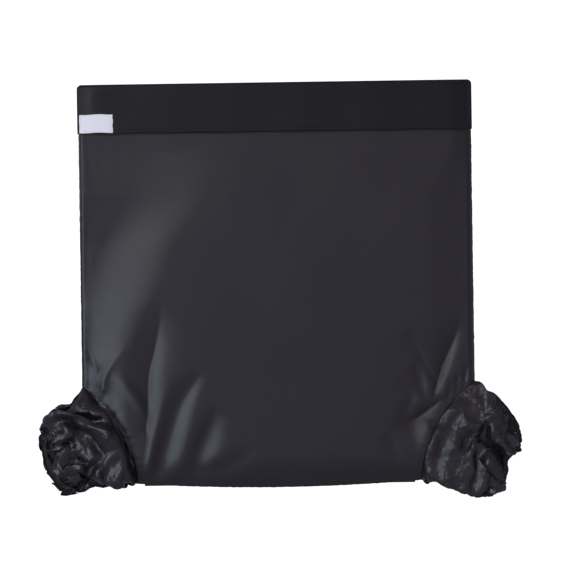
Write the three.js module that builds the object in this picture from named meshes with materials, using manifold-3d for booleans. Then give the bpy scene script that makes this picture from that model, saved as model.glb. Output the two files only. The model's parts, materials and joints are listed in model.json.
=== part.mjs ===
// Film changing bag: a light-tight cloth bag that lies flat on a table, with two arm sleeves at
// its lower corners and a double-zipped mouth under a hook-and-loop flap at its top end.
// It is two bags, one inside the other. Each has a back and a front panel and its own zip, and
// the two zips are staggered so that no straight gap leads inside.
// Millimetres. +Z is up, away from the table, and +Y points from the sleeves to the mouth.
import * as THREE from "three";
import { mergeVertices } from "three/addons/utils/BufferGeometryUtils.js";
import Module from "manifold-3d";

const wasm = await Module();
wasm.setup();

// ---- Driving dimensions ----
const WIDTH = 540; // across the side seams
const LENGTH = 553; // from the bottom seam to the mouth
const BOTTOM_Y = -270.5; // the bottom seam, placed so that the whole object is centred on Y
const TOP_Y = BOTTOM_Y + LENGTH;
const HALF = WIDTH / 2;
const CORNER_R = 6; // the two corners at the mouth

const CLOTH = 0.8; // one layer of coated cloth with its seam allowance
const GAP = 0.4; // between layers that touch on the real bag
const LIFT = CLOTH + GAP; // from one layer to the next

// The rise of each front panel from its edge to its plateau, against distance from the edge.
const OUTER_EDGE = [0, 14, 30, 52];
const INNER_INSET = 12; // the inner bag stands this far inside the outer one
const INNER_EDGE = [INNER_INSET, 22, 34, 54];
const OUTER_RISE = [0, 0.45, 0.8, 1];
const INNER_RISE = [0, 0.45, 0.78, 1];
const EDGE_Z = 2.2; // underside of a front panel at its seam
const MOUTH_SHOULDER = 0.5; // at the mouth the shoulders are this share as wide

// The underside of each front panel along the bag: [y, height], straight between.
const OUTER_LEVELS = [
  [BOTTOM_Y, 17.2],
  [130, 17.2],
  [200, 14],
  [243, 14],
  [249.5, 9.6],
  [TOP_Y, 9.6],
];
const INNER_LEVELS = [
  [BOTTOM_Y, 16],
  [120, 16],
  [170, 12.5],
  [205, 5.6],
  [TOP_Y, 5.6],
];

// Zips: a number 5 coil on woven tape.
const OUTER_ZIP = { name: "outer", y: 264, tapeZ: 9.6, half: 240 };
const INNER_ZIP = { name: "inner", y: 227, tapeZ: 5.6, half: 226 };
const TAPE_FROM = 3.05; // the tape's two edges, from the zip's centre line
const TAPE_TO = 12.5;
const COIL_FROM = 0.55;
const COIL_TO = 2.75;
const COIL_HIGH = 2.2;
const COIL_SHORT = 8; // the coil stops this far before each end of the tape
const RUNNING = 0.3; // clearance of the slider on the coil
const STOP_LONG = 3;

const SLIDER_LONG = 11;
const SLIDER_PLATE = 1;
const BAIL_HIGH = 2.2;
const BAIL_WIDE = 1.6;
const PULL_THICK = 0.9;
const PULL_WIDE = 6;
const PULL_TO = 26; // from the pivot to the tip

// The flap, its hook-and-loop strips and its label.
const FLAP_LONG = 67;
const FLAP_Z = 17.9; // underside of the flap's lining
const STRIP_FROM_Y = 220;
const STRIP_TO_Y = 239;
const STRIP_HALF = 228;
const LOOP_THICK = 1.2;
const HOOK_THICK = 1;
const LABEL = { x: -268, y: 218, wide: 48, high: 26, thick: 0.5 };

// Armholes: each lower corner is cut by a round arc, and a sleeve is set into the cut.
const ARMHOLE_UP = 140; // from the corner along the side seam
const ARMHOLE_ALONG = 76; // from the corner along the bottom seam
const ARMHOLE_SAG = 21; // how far the arc bows into the bag
const SLEEVE_TILT = THREE.MathUtils.degToRad(28); // below the X axis

// Sleeve stations: s is the distance from the armhole's middle, a and b the half width and height.
// The sleeve bends where its shoulder ends.
const SHOULDER_END = { s: 35, a: 70, b: 14.5 };
const SHOULDER_PUFF = 3; // how far the shoulder's crown swells above a straight run
const SLEEVE = [
  { s: 35.6, a: 70, b: 14.5 },
  { s: 46, a: 71, b: 20 },
  { s: 62, a: 68, b: 24 },
  { s: 80, a: 61, b: 23 },
  { s: 92, a: 51, b: 18.5 },
  { s: 98, a: 45, b: 15.5 },
];
const SLEEVE_LINING = { from: 39.5, to: 98.8, a: 42.4, b: 12.8 };
const CUFF = [
  { s: 98.4, a: 45, b: 15.5 },
  { s: 105, a: 42.4, b: 15 },
  { s: 112, a: 45, b: 16.5 },
];
const CUFF_ELASTIC = { from: 101, to: 109, a: 40.6, b: 12.8 };
const FLOOR_CLEAR = 0.3;
const ROUND = 28; // points round a sleeve

// ---- Materials ----
const material = (color, roughness, metalness = 0) =>
  new THREE.MeshStandardMaterial({ color, roughness, metalness });
const OUTER_CLOTH = material(0x26262a, 0.42);
const LINING_CLOTH = material(0x1c1c1f, 0.85);
const BINDING = material(0x18181b, 0.8);
const ZIP_TAPE = material(0x1a1a1c, 0.85);
const ZIP_COIL = material(0x222225, 0.35);
const ZIP_METAL = material(0x2a2a2d, 0.4, 0.6);
const HOOK_LOOP = material(0x151517, 0.95);
const ELASTIC = material(0x202022, 0.8);
const LABEL_CLOTH = material(0xd9dce4, 0.75);

// ---- Shape helpers ----
const lerp = THREE.MathUtils.lerp;

/** The value at x of the straight-line graph through [x, value] pairs. */
function along(table, x) {
  const next = table.findIndex(([at]) => at >= x);
  if (next === 0) return table[0][1];
  if (next < 0) return table.at(-1)[1];
  const [x0, v0] = table[next - 1];
  const [x1, v1] = table[next];
  return lerp(v0, v1, (x - x0) / (x1 - x0));
}

/** A geometry from points and triangles that close on themselves, turned to face out. */
function closedGeometry(points, triangles) {
  const volume = triangles.reduce((sum, [a, b, c]) => {
    const normal = new THREE.Vector3().crossVectors(points[b], points[c]);
    return sum + points[a].dot(normal);
  }, 0);
  const outward = volume < 0 ? triangles.map(([a, b, c]) => [a, c, b]) : triangles;
  return new THREE.BufferGeometry().setFromPoints(points).setIndex(outward.flat());
}

function toSolid(geometry) {
  const bare = geometry.clone();
  bare.deleteAttribute("normal");
  bare.deleteAttribute("uv");
  const merged = mergeVertices(bare, 1e-4);
  return new wasm.Manifold(
    new wasm.Mesh({
      numProp: 3,
      vertProperties: merged.attributes.position.array,
      triVerts: new Uint32Array(merged.index.array),
    }),
  );
}

function toGeometry(solid) {
  const { vertProperties, triVerts } = solid.getMesh();
  return new THREE.BufferGeometry()
    .setAttribute("position", new THREE.BufferAttribute(vertProperties, 3))
    .setIndex(new THREE.BufferAttribute(triVerts, 1));
}

function block([x0, x1], [y0, y1], [z0, z1]) {
  return new THREE.BoxGeometry(x1 - x0, y1 - y0, z1 - z0).translate(
    (x0 + x1) / 2,
    (y0 + y1) / 2,
    (z0 + z1) / 2,
  );
}

const join = (...geometries) => toGeometry(geometries.map(toSolid).reduce((a, b) => a.add(b)));
const cut = (geometry, ...cutters) =>
  toGeometry(cutters.map(toSolid).reduce((a, b) => a.subtract(b), toSolid(geometry)));

/** A flat sheet of the given outline, lying between two heights. */
function plate(outline, z0, z1) {
  const options = { depth: z1 - z0, bevelEnabled: false, curveSegments: 10 };
  return new THREE.ExtrudeGeometry(outline, options).translate(0, 0, z0);
}

/** A thin-walled tube, open at both ends, through matching outer and inner loops of points. */
function tube(outer, inner) {
  const round = outer[0].length;
  const points = [...outer.flat(), ...inner.flat()];
  const at = (wall, k, i) => (wall * outer.length + k) * round + (i % round);
  const triangles = [];
  const quad = (a, b, c, d) => triangles.push([a, b, c], [a, c, d]);
  for (let i = 0; i < round; i++) {
    for (let k = 0; k < outer.length - 1; k++) {
      quad(at(0, k, i), at(0, k, i + 1), at(0, k + 1, i + 1), at(0, k + 1, i));
      quad(at(1, k, i), at(1, k + 1, i), at(1, k + 1, i + 1), at(1, k, i + 1));
    }
    const last = outer.length - 1;
    quad(at(0, 0, i), at(1, 0, i), at(1, 0, i + 1), at(0, 0, i + 1));
    quad(at(0, last, i), at(0, last, i + 1), at(1, last, i + 1), at(1, last, i));
  }
  return closedGeometry(points, triangles);
}

// ---- Armhole and body outlines ----
const chordMid = new THREE.Vector2(HALF - ARMHOLE_ALONG / 2, BOTTOM_Y + ARMHOLE_UP / 2);
const chord = Math.hypot(ARMHOLE_UP, ARMHOLE_ALONG);
const ARMHOLE_R = ((chord / 2) ** 2 + ARMHOLE_SAG ** 2) / (2 * ARMHOLE_SAG);
const outOfBag = new THREE.Vector2(ARMHOLE_UP, -ARMHOLE_ALONG).divideScalar(chord);
const armholeMid = chordMid.clone().addScaledVector(outOfBag, -ARMHOLE_SAG);
const armholeCentre = chordMid.clone().addScaledVector(outOfBag, ARMHOLE_R - ARMHOLE_SAG);

/** The angles, round the right armhole's centre, at which its arc meets the two seams. */
function armholeAngles(radius, inset) {
  const { x: cx, y: cy } = armholeCentre;
  const side = HALF - inset - cx;
  const bottom = BOTTOM_Y + inset - cy;
  return {
    side: Math.acos(side / radius),
    bottom: Math.PI - Math.asin(bottom / radius),
  };
}

/** A point on the right armhole's arc: t is -1 at the bottom seam and 1 at the side seam. */
function armholePoint(t, radius, inset) {
  const { side, bottom } = armholeAngles(radius, inset);
  const angle = lerp(bottom, side, (t + 1) / 2);
  return new THREE.Vector2(Math.cos(angle), Math.sin(angle))
    .multiplyScalar(radius)
    .add(armholeCentre);
}

/** The plan outline of a panel, with both armholes cut, anticlockwise from the bottom seam. */
function bagOutline(inset, topY) {
  const { side, bottom } = armholeAngles(ARMHOLE_R, inset);
  const x = HALF - inset;
  const r = CORNER_R;
  const outline = new THREE.Shape();
  outline.absarc(armholeCentre.x, armholeCentre.y, ARMHOLE_R, bottom, side, true);
  outline.lineTo(x, topY - r);
  outline.absarc(x - r, topY - r, r, 0, Math.PI / 2, false);
  outline.absarc(r - x, topY - r, r, Math.PI / 2, Math.PI, false);
  outline.absarc(-armholeCentre.x, armholeCentre.y, ARMHOLE_R, Math.PI - side, Math.PI - bottom, true);
  return outline;
}

// ---- Front panels ----
const shoulderScale = (y) =>
  along(
    [
      [130, 1],
      [200, MOUTH_SHOULDER],
    ],
    y,
  );

/** The height of a front panel's underside over a point of the plan. */
function underside(x, y, edge, rise, levels) {
  const profile = edge.map((d, i) => [d, rise[i]]);
  const fromEdge = edge[0] + (HALF - edge[0] - Math.abs(x)) / shoulderScale(y);
  const share = along(profile, fromEdge) * along(profile, y - BOTTOM_Y);
  return lerp(EDGE_Z, along(levels, y), share);
}
const outerUnderside = (x, y) => underside(x, y, OUTER_EDGE, OUTER_RISE, OUTER_LEVELS);
const innerUnderside = (x, y) => underside(x, y, INNER_EDGE, INNER_RISE, INNER_LEVELS);

/** A front panel: a shallow tray of cloth, upside down, cut to the bag's outline. */
function frontPanel(edge, levels, heightAt, topY) {
  const rows = [
    ...edge.map((d) => BOTTOM_Y + d),
    ...levels.map(([y]) => y).filter((y) => y > BOTTOM_Y + edge.at(-1) && y < topY),
    topY,
  ];
  const fromEdge = edge.map((d) => d - edge[0]);
  const columnsAt = (y) => {
    const right = fromEdge.map((d) => HALF - edge[0] - d * shoulderScale(y));
    return [...right.map((x) => -x), ...right.reverse()];
  };
  const points = [];
  const triangles = [];
  const across = 2 * edge.length;
  for (const lift of [0, CLOTH])
    for (const y of rows)
      for (const x of columnsAt(y)) points.push(new THREE.Vector3(x, y, heightAt(x, y) + lift));
  const at = (layer, j, i) => (layer * rows.length + j) * across + i;
  const quad = (a, b, c, d) => triangles.push([a, b, c], [a, c, d]);
  for (let j = 0; j < rows.length - 1; j++) {
    for (let i = 0; i < across - 1; i++) {
      quad(at(1, j, i), at(1, j, i + 1), at(1, j + 1, i + 1), at(1, j + 1, i));
      quad(at(0, j, i), at(0, j + 1, i), at(0, j + 1, i + 1), at(0, j, i + 1));
    }
    quad(at(0, j, 0), at(1, j, 0), at(1, j + 1, 0), at(0, j + 1, 0));
    quad(at(0, j, across - 1), at(0, j + 1, across - 1), at(1, j + 1, across - 1), at(1, j, across - 1));
  }
  for (let i = 0; i < across - 1; i++) {
    const end = rows.length - 1;
    quad(at(0, 0, i), at(0, 0, i + 1), at(1, 0, i + 1), at(1, 0, i));
    quad(at(0, end, i), at(1, end, i), at(1, end, i + 1), at(0, end, i + 1));
  }
  const tray = closedGeometry(points, triangles);
  const trim = plate(bagOutline(edge[0], topY), 0, 100);
  return toGeometry(toSolid(tray).intersect(toSolid(trim)));
}

// ---- Sleeves, made for the right side and mirrored for the left ----
const sleeveOut = new THREE.Vector2(Math.cos(SLEEVE_TILT), -Math.sin(SLEEVE_TILT));
const sleeveAcross = new THREE.Vector2(Math.sin(SLEEVE_TILT), Math.cos(SLEEVE_TILT));

const fuller = (x, power) => Math.sign(x) * Math.abs(x) ** power;

function roundAngles() {
  return Array.from({ length: ROUND }, (_, i) => (2 * Math.PI * i) / ROUND);
}

/** The loop of a sleeve station, shrunk by inset all round. */
function sleeveLoop(side, { s, a, b }, inset) {
  return roundAngles().map((angle) => {
    const plan = armholeMid
      .clone()
      .addScaledVector(sleeveOut, s)
      .addScaledVector(sleeveAcross, (a - inset) * Math.cos(angle));
    const z = FLOOR_CLEAR + b + (b - inset) * fuller(Math.sin(angle), 0.8);
    return new THREE.Vector3(side * plan.x, plan.y, z);
  });
}

/** The lens-shaped loop on the armhole, from heights given by two functions of the plan. */
function armholeLoop(side, radius, inset, reach, topAt, bottomAt) {
  return roundAngles().map((angle) => {
    const plan = armholePoint(reach * Math.cos(angle), radius, inset);
    const [top, bottom] = [topAt(plan.x, plan.y), bottomAt(plan.x, plan.y)];
    const z = (top + bottom) / 2 + ((top - bottom) / 2) * fuller(Math.sin(angle), 0.5);
    return new THREE.Vector3(side * plan.x, plan.y, z);
  });
}

const sleeveTube = (side, stations, inset) =>
  tube(
    stations.map((station) => sleeveLoop(side, station, inset)),
    stations.map((station) => sleeveLoop(side, station, inset + CLOTH)),
  );

/** A tube of one section that lies inside the sleeve. Its section is given as seen outside. */
const innerTube = (side, { from, to, a, b }) =>
  sleeveTube(
    side,
    [from, to].map((s) => ({ s, a: a + LIFT, b: b + LIFT })),
    LIFT,
  );

/** The sleeve's shoulder, from the armhole to the line where the sleeve bends. */
function shoulder(side, edge, heightAt, baseZ, inset) {
  const radius = ARMHOLE_R - GAP;
  const wallLoops = (wall, reach) => {
    const start = armholeLoop(
      side,
      radius,
      edge,
      reach,
      (x, y) => heightAt(x, y) + CLOTH - wall,
      () => baseZ + wall,
    );
    const end = sleeveLoop(side, SHOULDER_END, inset + wall);
    const crown = roundAngles().map((angle) => Math.max(0, Math.sin(angle)) * SHOULDER_PUFF);
    const middle = start.map((point, i) => {
      const between = point.clone().lerp(end[i], 0.5);
      return between.setZ(between.z + crown[i]);
    });
    return [start, middle, end];
  };
  return tube(wallLoops(0, 1), wallLoops(CLOTH, 0.98));
}

/** The bound seam inside the bag along the armhole. */
function armholeBinding(side) {
  const reachIn = 24;
  const loop = (radius, wall) =>
    armholeLoop(
      side,
      radius,
      reachIn,
      1 - wall / 60,
      (x, y) => innerUnderside(x, y) - GAP - wall,
      () => LIFT + CLOTH + GAP + wall,
    );
  const radii = [ARMHOLE_R + 1, ARMHOLE_R + 8];
  return tube(
    radii.map((radius) => loop(radius, 0)),
    radii.map((radius) => loop(radius, CLOTH)),
  );
}

// ---- Zips ----
/** A strip of a zip on one side of its centre line: way is -1 for the front, 1 for the back. */
function zipStrip(zip, way, from, to, half, z) {
  const [y0, y1] = [zip.y + way * from, zip.y + way * to].sort((p, q) => p - q);
  return block([-half, half], [y0, y1], z);
}

const coilMid = (zip) => zip.tapeZ + CLOTH / 2;

function slider(zip, x) {
  const low = coilMid(zip) - COIL_HIGH / 2 - RUNNING;
  const high = coilMid(zip) + COIL_HIGH / 2 + RUNNING;
  const flangeIn = COIL_TO + RUNNING;
  const flangeOut = flangeIn + 0.8;
  const nose = SLIDER_LONG / 2;
  const top = high + SLIDER_PLATE;
  // The two plates are shields that narrow to the tail.
  const shield = new THREE.Shape();
  shield.moveTo(-nose, -flangeOut);
  shield.lineTo(nose - 3, -flangeOut);
  shield.quadraticCurveTo(nose, -flangeOut, nose, 0);
  shield.quadraticCurveTo(nose, flangeOut, nose - 3, flangeOut);
  shield.lineTo(-nose, flangeOut);
  shield.closePath();
  const plates = [plate(shield, low - SLIDER_PLATE, low), plate(shield, high, top)];
  const flanges = [-1, 1].flatMap((way) => {
    const y = [way * flangeIn, way * flangeOut].sort((p, q) => p - q);
    const length = [-nose, nose - 3];
    return [
      block(length, y, [low - SLIDER_PLATE / 2, zip.tapeZ - RUNNING]),
      block(length, y, [zip.tapeZ + CLOTH + RUNNING, high + SLIDER_PLATE / 2]),
    ];
  });
  const post = block([nose - 4, nose - 1], [-0.25, 0.25], [low - SLIDER_PLATE / 2, high + SLIDER_PLATE / 2]);
  const wide = [-BAIL_WIDE / 2, BAIL_WIDE / 2];
  const bail = [
    block([-3.6, -2.6], wide, [high, top + BAIL_HIGH]),
    block([2.6, 3.6], wide, [high, top + BAIL_HIGH]),
    block([-3.6, 3.6], wide, [top + BAIL_HIGH - 0.7, top + BAIL_HIGH]),
  ];
  return join(...plates, ...flanges, post, ...bail).translate(x, zip.y, 0);
}

const pivotZ = (zip) =>
  coilMid(zip) + COIL_HIGH / 2 + RUNNING + SLIDER_PLATE + (BAIL_HIGH - 0.7) / 2;

/** The pull: an eye round the slider's bail and a tab with a hole, lying towards +X. */
function pull(zip, x) {
  const armsIn = BAIL_WIDE / 2 + RUNNING;
  const outline = new THREE.Shape();
  const tip = PULL_TO;
  outline.moveTo(-PULL_THICK / 2, -armsIn - 1);
  outline.lineTo(6, -armsIn - 1);
  outline.lineTo(9, -PULL_WIDE / 2);
  outline.lineTo(tip - 3, -PULL_WIDE / 2);
  outline.absarc(tip - PULL_WIDE / 2, 0, PULL_WIDE / 2, -Math.PI / 2, Math.PI / 2, false);
  outline.lineTo(9, PULL_WIDE / 2);
  outline.lineTo(6, armsIn + 1);
  outline.lineTo(-PULL_THICK / 2, armsIn + 1);
  outline.closePath();
  const eye = new THREE.Path();
  eye.moveTo(PULL_THICK / 2, -armsIn);
  eye.lineTo(PULL_THICK / 2, armsIn);
  eye.lineTo(6.2, armsIn);
  eye.lineTo(6.2, -armsIn);
  eye.closePath();
  const hole = new THREE.Path();
  hole.absarc(tip - PULL_WIDE / 2, 0, 1.5, 0, 2 * Math.PI, true);
  outline.holes.push(eye, hole);
  const z = pivotZ(zip);
  return plate(outline, z - PULL_THICK / 2, z + PULL_THICK / 2).translate(x, zip.y, 0);
}

/** The end of a bag at its mouth: a wall with a leg that carries the zip's back tape. */
function mouthFacing(zip, wallY, topZ, baseZ, slopeFrom, slopeTo) {
  const profile = new THREE.Shape();
  profile.moveTo(-slopeTo, baseZ);
  profile.lineTo(slopeTo, baseZ);
  profile.lineTo(slopeTo, baseZ + 1);
  profile.lineTo(slopeFrom, topZ);
  profile.lineTo(-slopeFrom, topZ);
  profile.lineTo(-slopeTo, baseZ + 1);
  profile.closePath();
  const wall = new THREE.ExtrudeGeometry(profile, { depth: CLOTH, bevelEnabled: false })
    .rotateX(Math.PI / 2)
    .translate(0, wallY, 0);
  const leg = block(
    [-zip.half, zip.half],
    [zip.y + TAPE_TO + GAP, wallY - CLOTH / 2],
    [zip.tapeZ, zip.tapeZ + CLOTH],
  );
  return join(wall, leg);
}

// ---- Assembly ----
const changingBag = new THREE.Group();

function add(name, geometry, finish) {
  const mesh = new THREE.Mesh(geometry, finish);
  mesh.name = name;
  changingBag.add(mesh);
}

// The two bags: back panels lie flat, front panels rise to a shallow plateau.
const innerTopY = 244.5;
const zipWindow = (zip, topY) =>
  block([-zip.half - GAP, zip.half + GAP], [zip.y - TAPE_TO - GAP, topY + 1], [0, 40]);
const outerPanelTop = TOP_Y - LIFT;
const innerPanelTop = innerTopY - LIFT;
add("outer_back_panel", plate(bagOutline(0, TOP_Y), 0, CLOTH), OUTER_CLOTH);
add(
  "outer_front_panel",
  cut(frontPanel(OUTER_EDGE, OUTER_LEVELS, outerUnderside, outerPanelTop), zipWindow(OUTER_ZIP, TOP_Y)),
  OUTER_CLOTH,
);
add(
  "inner_back_panel",
  plate(bagOutline(INNER_INSET, innerTopY), LIFT, LIFT + CLOTH),
  LINING_CLOTH,
);
add(
  "inner_front_panel",
  cut(frontPanel(INNER_EDGE, INNER_LEVELS, innerUnderside, innerPanelTop), zipWindow(INNER_ZIP, TOP_Y)),
  LINING_CLOTH,
);

// Bound seam allowances inside the outer bag.
const tapeZ = [LIFT, LIFT + CLOTH - 0.1];
const seamIn = [HALF - 11, HALF - 1];
const sideSeamY = [BOTTOM_Y + ARMHOLE_UP + 14, TOP_Y - 12];
add("right_seam_tape", block(seamIn, sideSeamY, tapeZ), BINDING);
add("left_seam_tape", block(seamIn.map((x) => -x).reverse(), sideSeamY, tapeZ), BINDING);
const bottomHalf = HALF - ARMHOLE_ALONG - 8;
add(
  "bottom_seam_tape",
  block([-bottomHalf, bottomHalf], [BOTTOM_Y + 1, BOTTOM_Y + 11], tapeZ),
  BINDING,
);

// Mouth: facings, then for each zip two tapes, two coils and the stops at both ends.
const flapHingeZ = FLAP_Z + 0.9;
add(
  "outer_mouth_facing",
  mouthFacing(OUTER_ZIP, TOP_Y, flapHingeZ - 1.3, LIFT, HALF - 24, HALF - CORNER_R),
  OUTER_CLOTH,
);
add(
  "inner_mouth_facing",
  mouthFacing(INNER_ZIP, innerTopY, INNER_ZIP.tapeZ + CLOTH, EDGE_Z, 238, HALF - INNER_INSET - 2),
  LINING_CLOTH,
);
for (const zip of [OUTER_ZIP, INNER_ZIP]) {
  const tapeHeights = [zip.tapeZ, zip.tapeZ + CLOTH];
  const coilHeights = [coilMid(zip) - COIL_HIGH / 2, coilMid(zip) + COIL_HIGH / 2];
  const coilHalf = zip.half - COIL_SHORT;
  for (const [edge, way] of [
    ["front", -1],
    ["back", 1],
  ]) {
    const tape = zipStrip(zip, way, TAPE_FROM, TAPE_TO, zip.half, tapeHeights);
    const coil = zipStrip(zip, way, COIL_FROM, COIL_TO, coilHalf, coilHeights);
    add(`${zip.name}_zip_${edge}_tape`, tape, ZIP_TAPE);
    add(`${zip.name}_zip_${edge}_coil`, coil, ZIP_COIL);
  }
  for (const [end, way] of [
    ["left", -1],
    ["right", 1],
  ]) {
    const x = [way * (coilHalf + GAP), way * (coilHalf + GAP + STOP_LONG)].sort((p, q) => p - q);
    add(`${zip.name}_zip_${end}_stop`, block(x, [zip.y - COIL_TO, zip.y + COIL_TO], coilHeights), ZIP_METAL);
  }
}

// Sliders and pulls stand at the closed, left end.
const sliderX = (zip) => COIL_SHORT + 9 - zip.half;
for (const zip of [OUTER_ZIP, INNER_ZIP]) {
  add(`${zip.name}_zip_slider`, slider(zip, sliderX(zip)), ZIP_METAL);
  add(`${zip.name}_zip_pull`, pull(zip, sliderX(zip)), ZIP_METAL);
}

// Flap, hinged on the top edge of the outer mouth facing.
const strip = (z0, thick) =>
  block([-STRIP_HALF, STRIP_HALF], [STRIP_FROM_Y, STRIP_TO_Y], [z0, z0 + thick]);
const panelTopAtStrip = outerUnderside(0, STRIP_FROM_Y) + CLOTH;
add("loop_strip", strip(panelTopAtStrip + 0.3, LOOP_THICK), HOOK_LOOP);
const flapEdgeY = TOP_Y - FLAP_LONG;
const flapRootY = TOP_Y - 0.6;
const flapSheet = (inset, z0, thick) =>
  block([inset - HALF, HALF - inset], [flapEdgeY + inset, flapRootY], [z0, z0 + thick]);
add("flap_lining", flapSheet(2, FLAP_Z, 0.7), LINING_CLOTH);
add("flap_cover", flapSheet(0, FLAP_Z + 1, CLOTH), OUTER_CLOTH);
add("hook_strip", strip(FLAP_Z - 0.3 - HOOK_THICK, HOOK_THICK), HOOK_LOOP);
const labelZ = FLAP_Z + 1 + CLOTH + 0.3;
add(
  "label",
  block([LABEL.x, LABEL.x + LABEL.wide], [LABEL.y, LABEL.y + LABEL.high], [labelZ, labelZ + LABEL.thick]),
  LABEL_CLOTH,
);

// Sleeves: shoulder, sleeve and cuff, with a lining and the cuff's elastic inside.
for (const [name, side] of [
  ["left", -1],
  ["right", 1],
]) {
  add(`${name}_sleeve_shoulder`, shoulder(side, 0, outerUnderside, 0, 0), OUTER_CLOTH);
  add(
    `${name}_shoulder_lining`,
    shoulder(side, INNER_INSET, innerUnderside, LIFT, LIFT),
    LINING_CLOTH,
  );
  add(`${name}_armhole_binding`, armholeBinding(side), BINDING);
  add(`${name}_sleeve`, sleeveTube(side, SLEEVE, 0), OUTER_CLOTH);
  add(`${name}_sleeve_lining`, innerTube(side, SLEEVE_LINING), LINING_CLOTH);
  add(`${name}_cuff_hem`, sleeveTube(side, CUFF, 0), OUTER_CLOTH);
  add(`${name}_cuff_elastic`, innerTube(side, CUFF_ELASTIC), ELASTIC);
}

export default changingBag;
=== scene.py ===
"""Looks of a film changing bag: black coated cloth lying on white, seen from straight above.

Shapes are worked out in millimetres, in the frame's axes, and become metres when a mesh is made.
"""
import json
import math

import bpy
import numpy as np
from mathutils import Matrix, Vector


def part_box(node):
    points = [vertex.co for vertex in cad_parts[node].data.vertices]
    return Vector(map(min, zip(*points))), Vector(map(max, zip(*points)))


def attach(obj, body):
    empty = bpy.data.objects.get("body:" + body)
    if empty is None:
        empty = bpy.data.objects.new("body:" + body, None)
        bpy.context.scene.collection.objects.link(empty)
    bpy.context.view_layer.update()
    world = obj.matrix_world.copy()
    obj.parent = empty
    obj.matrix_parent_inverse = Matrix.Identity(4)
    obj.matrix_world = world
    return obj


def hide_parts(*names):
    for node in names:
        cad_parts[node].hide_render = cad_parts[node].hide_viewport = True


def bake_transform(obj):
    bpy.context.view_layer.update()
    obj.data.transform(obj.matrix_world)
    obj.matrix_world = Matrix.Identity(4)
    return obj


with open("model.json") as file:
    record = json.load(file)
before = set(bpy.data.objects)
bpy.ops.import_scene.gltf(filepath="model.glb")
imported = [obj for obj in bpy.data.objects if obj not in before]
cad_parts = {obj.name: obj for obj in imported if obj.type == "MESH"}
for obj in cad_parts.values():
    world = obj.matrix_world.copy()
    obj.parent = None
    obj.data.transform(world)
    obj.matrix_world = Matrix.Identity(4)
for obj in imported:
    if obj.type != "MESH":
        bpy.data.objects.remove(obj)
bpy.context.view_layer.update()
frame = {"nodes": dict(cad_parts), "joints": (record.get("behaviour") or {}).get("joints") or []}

MM = 0.001
SIDES = {"left": -1, "right": 1}


# ---------------------------------------------------------------- sizes taken from the frame

def box_mm(node):
    """The lowest and highest corner of a CAD node, in millimetres."""
    low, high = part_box(node)
    return np.array(low) / MM, np.array(high) / MM


def joint(name):
    """A joint's entry in the frame."""
    return next(j for j in frame["joints"] if j["name"] == name)


BACK_LOW, BACK_HIGH = box_mm("outer_back_panel")
HALF_WIDTH = BACK_HIGH[0]
BOTTOM = BACK_LOW[1]
TOP = BACK_HIGH[1]
PLATEAU = box_mm("outer_front_panel")[1][2] - 0.4
SHOULDER_LOW, SHOULDER_HIGH = box_mm("right_sleeve_shoulder")
FLAP_LOW, FLAP_HIGH = box_mm("flap_cover")
TAPE_LOW, TAPE_HIGH = box_mm("outer_zip_front_tape")
BACK_TAPE_HIGH = box_mm("outer_zip_back_tape")[1]
INNER_TAPE_LOW = box_mm("inner_zip_front_tape")[0]
INNER_TAPE_HIGH = box_mm("inner_zip_back_tape")[1]
INNER_INSET = HALF_WIDTH - box_mm("inner_back_panel")[1][0]
LABEL_LOW, LABEL_HIGH = box_mm("label")

# The armhole is an arc from the side seam to the bottom seam, bowed into the body.
ARMHOLE_RADIUS = 161.6
SIDE_END = np.array([HALF_WIDTH, SHOULDER_HIGH[1]])
BOTTOM_END = np.array([SHOULDER_LOW[0], BOTTOM])
CHORD = SIDE_END - BOTTOM_END
CHORD_LENGTH = float(np.hypot(*CHORD))
OUTWARD = np.array([CHORD[1], -CHORD[0]]) / CHORD_LENGTH
ARC_CENTRE = (SIDE_END + BOTTOM_END) / 2 + OUTWARD * math.sqrt(
    ARMHOLE_RADIUS ** 2 - (CHORD_LENGTH / 2) ** 2
)
ARMHOLE_MIDDLE = ARC_CENTRE - OUTWARD * ARMHOLE_RADIUS
ARC_START = math.atan2(*(SIDE_END - ARC_CENTRE)[::-1])
ARC_STOP = math.atan2(*(BOTTOM_END - ARC_CENTRE)[::-1]) % (2 * math.pi)
SLEEVE_DIRECTION = np.array(joint("right_cuff_draw")["axis"][:2])
SLEEVE_ACROSS = np.array([-SLEEVE_DIRECTION[1], SLEEVE_DIRECTION[0]])


# ---------------------------------------------------------------- small shape helpers

def smooth(t):
    """0 below 0, 1 above 1, and an even S between."""
    t = np.clip(t, 0, 1)
    return t * t * (3 - 2 * t)


def rise(distance, width, fullness):
    """0 at an edge, 1 from width inwards, and steepest at the edge."""
    return 1 - (1 - np.clip(distance / width, 0, 1)) ** fullness


def ripples(x, y, wavelength, seed, waves=14):
    """Soft irregular waves between about -1 and 1, the same each run."""
    rng = np.random.RandomState(seed)
    total = 0
    for _ in range(waves):
        heading = rng.uniform(0, 2 * math.pi)
        length = wavelength * rng.uniform(0.7, 1.6)
        phase = rng.uniform(0, 2 * math.pi)
        run = x * math.cos(heading) + y * math.sin(heading)
        total = total + np.sin(2 * math.pi * run / length + phase)
    return total / math.sqrt(waves)


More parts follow.
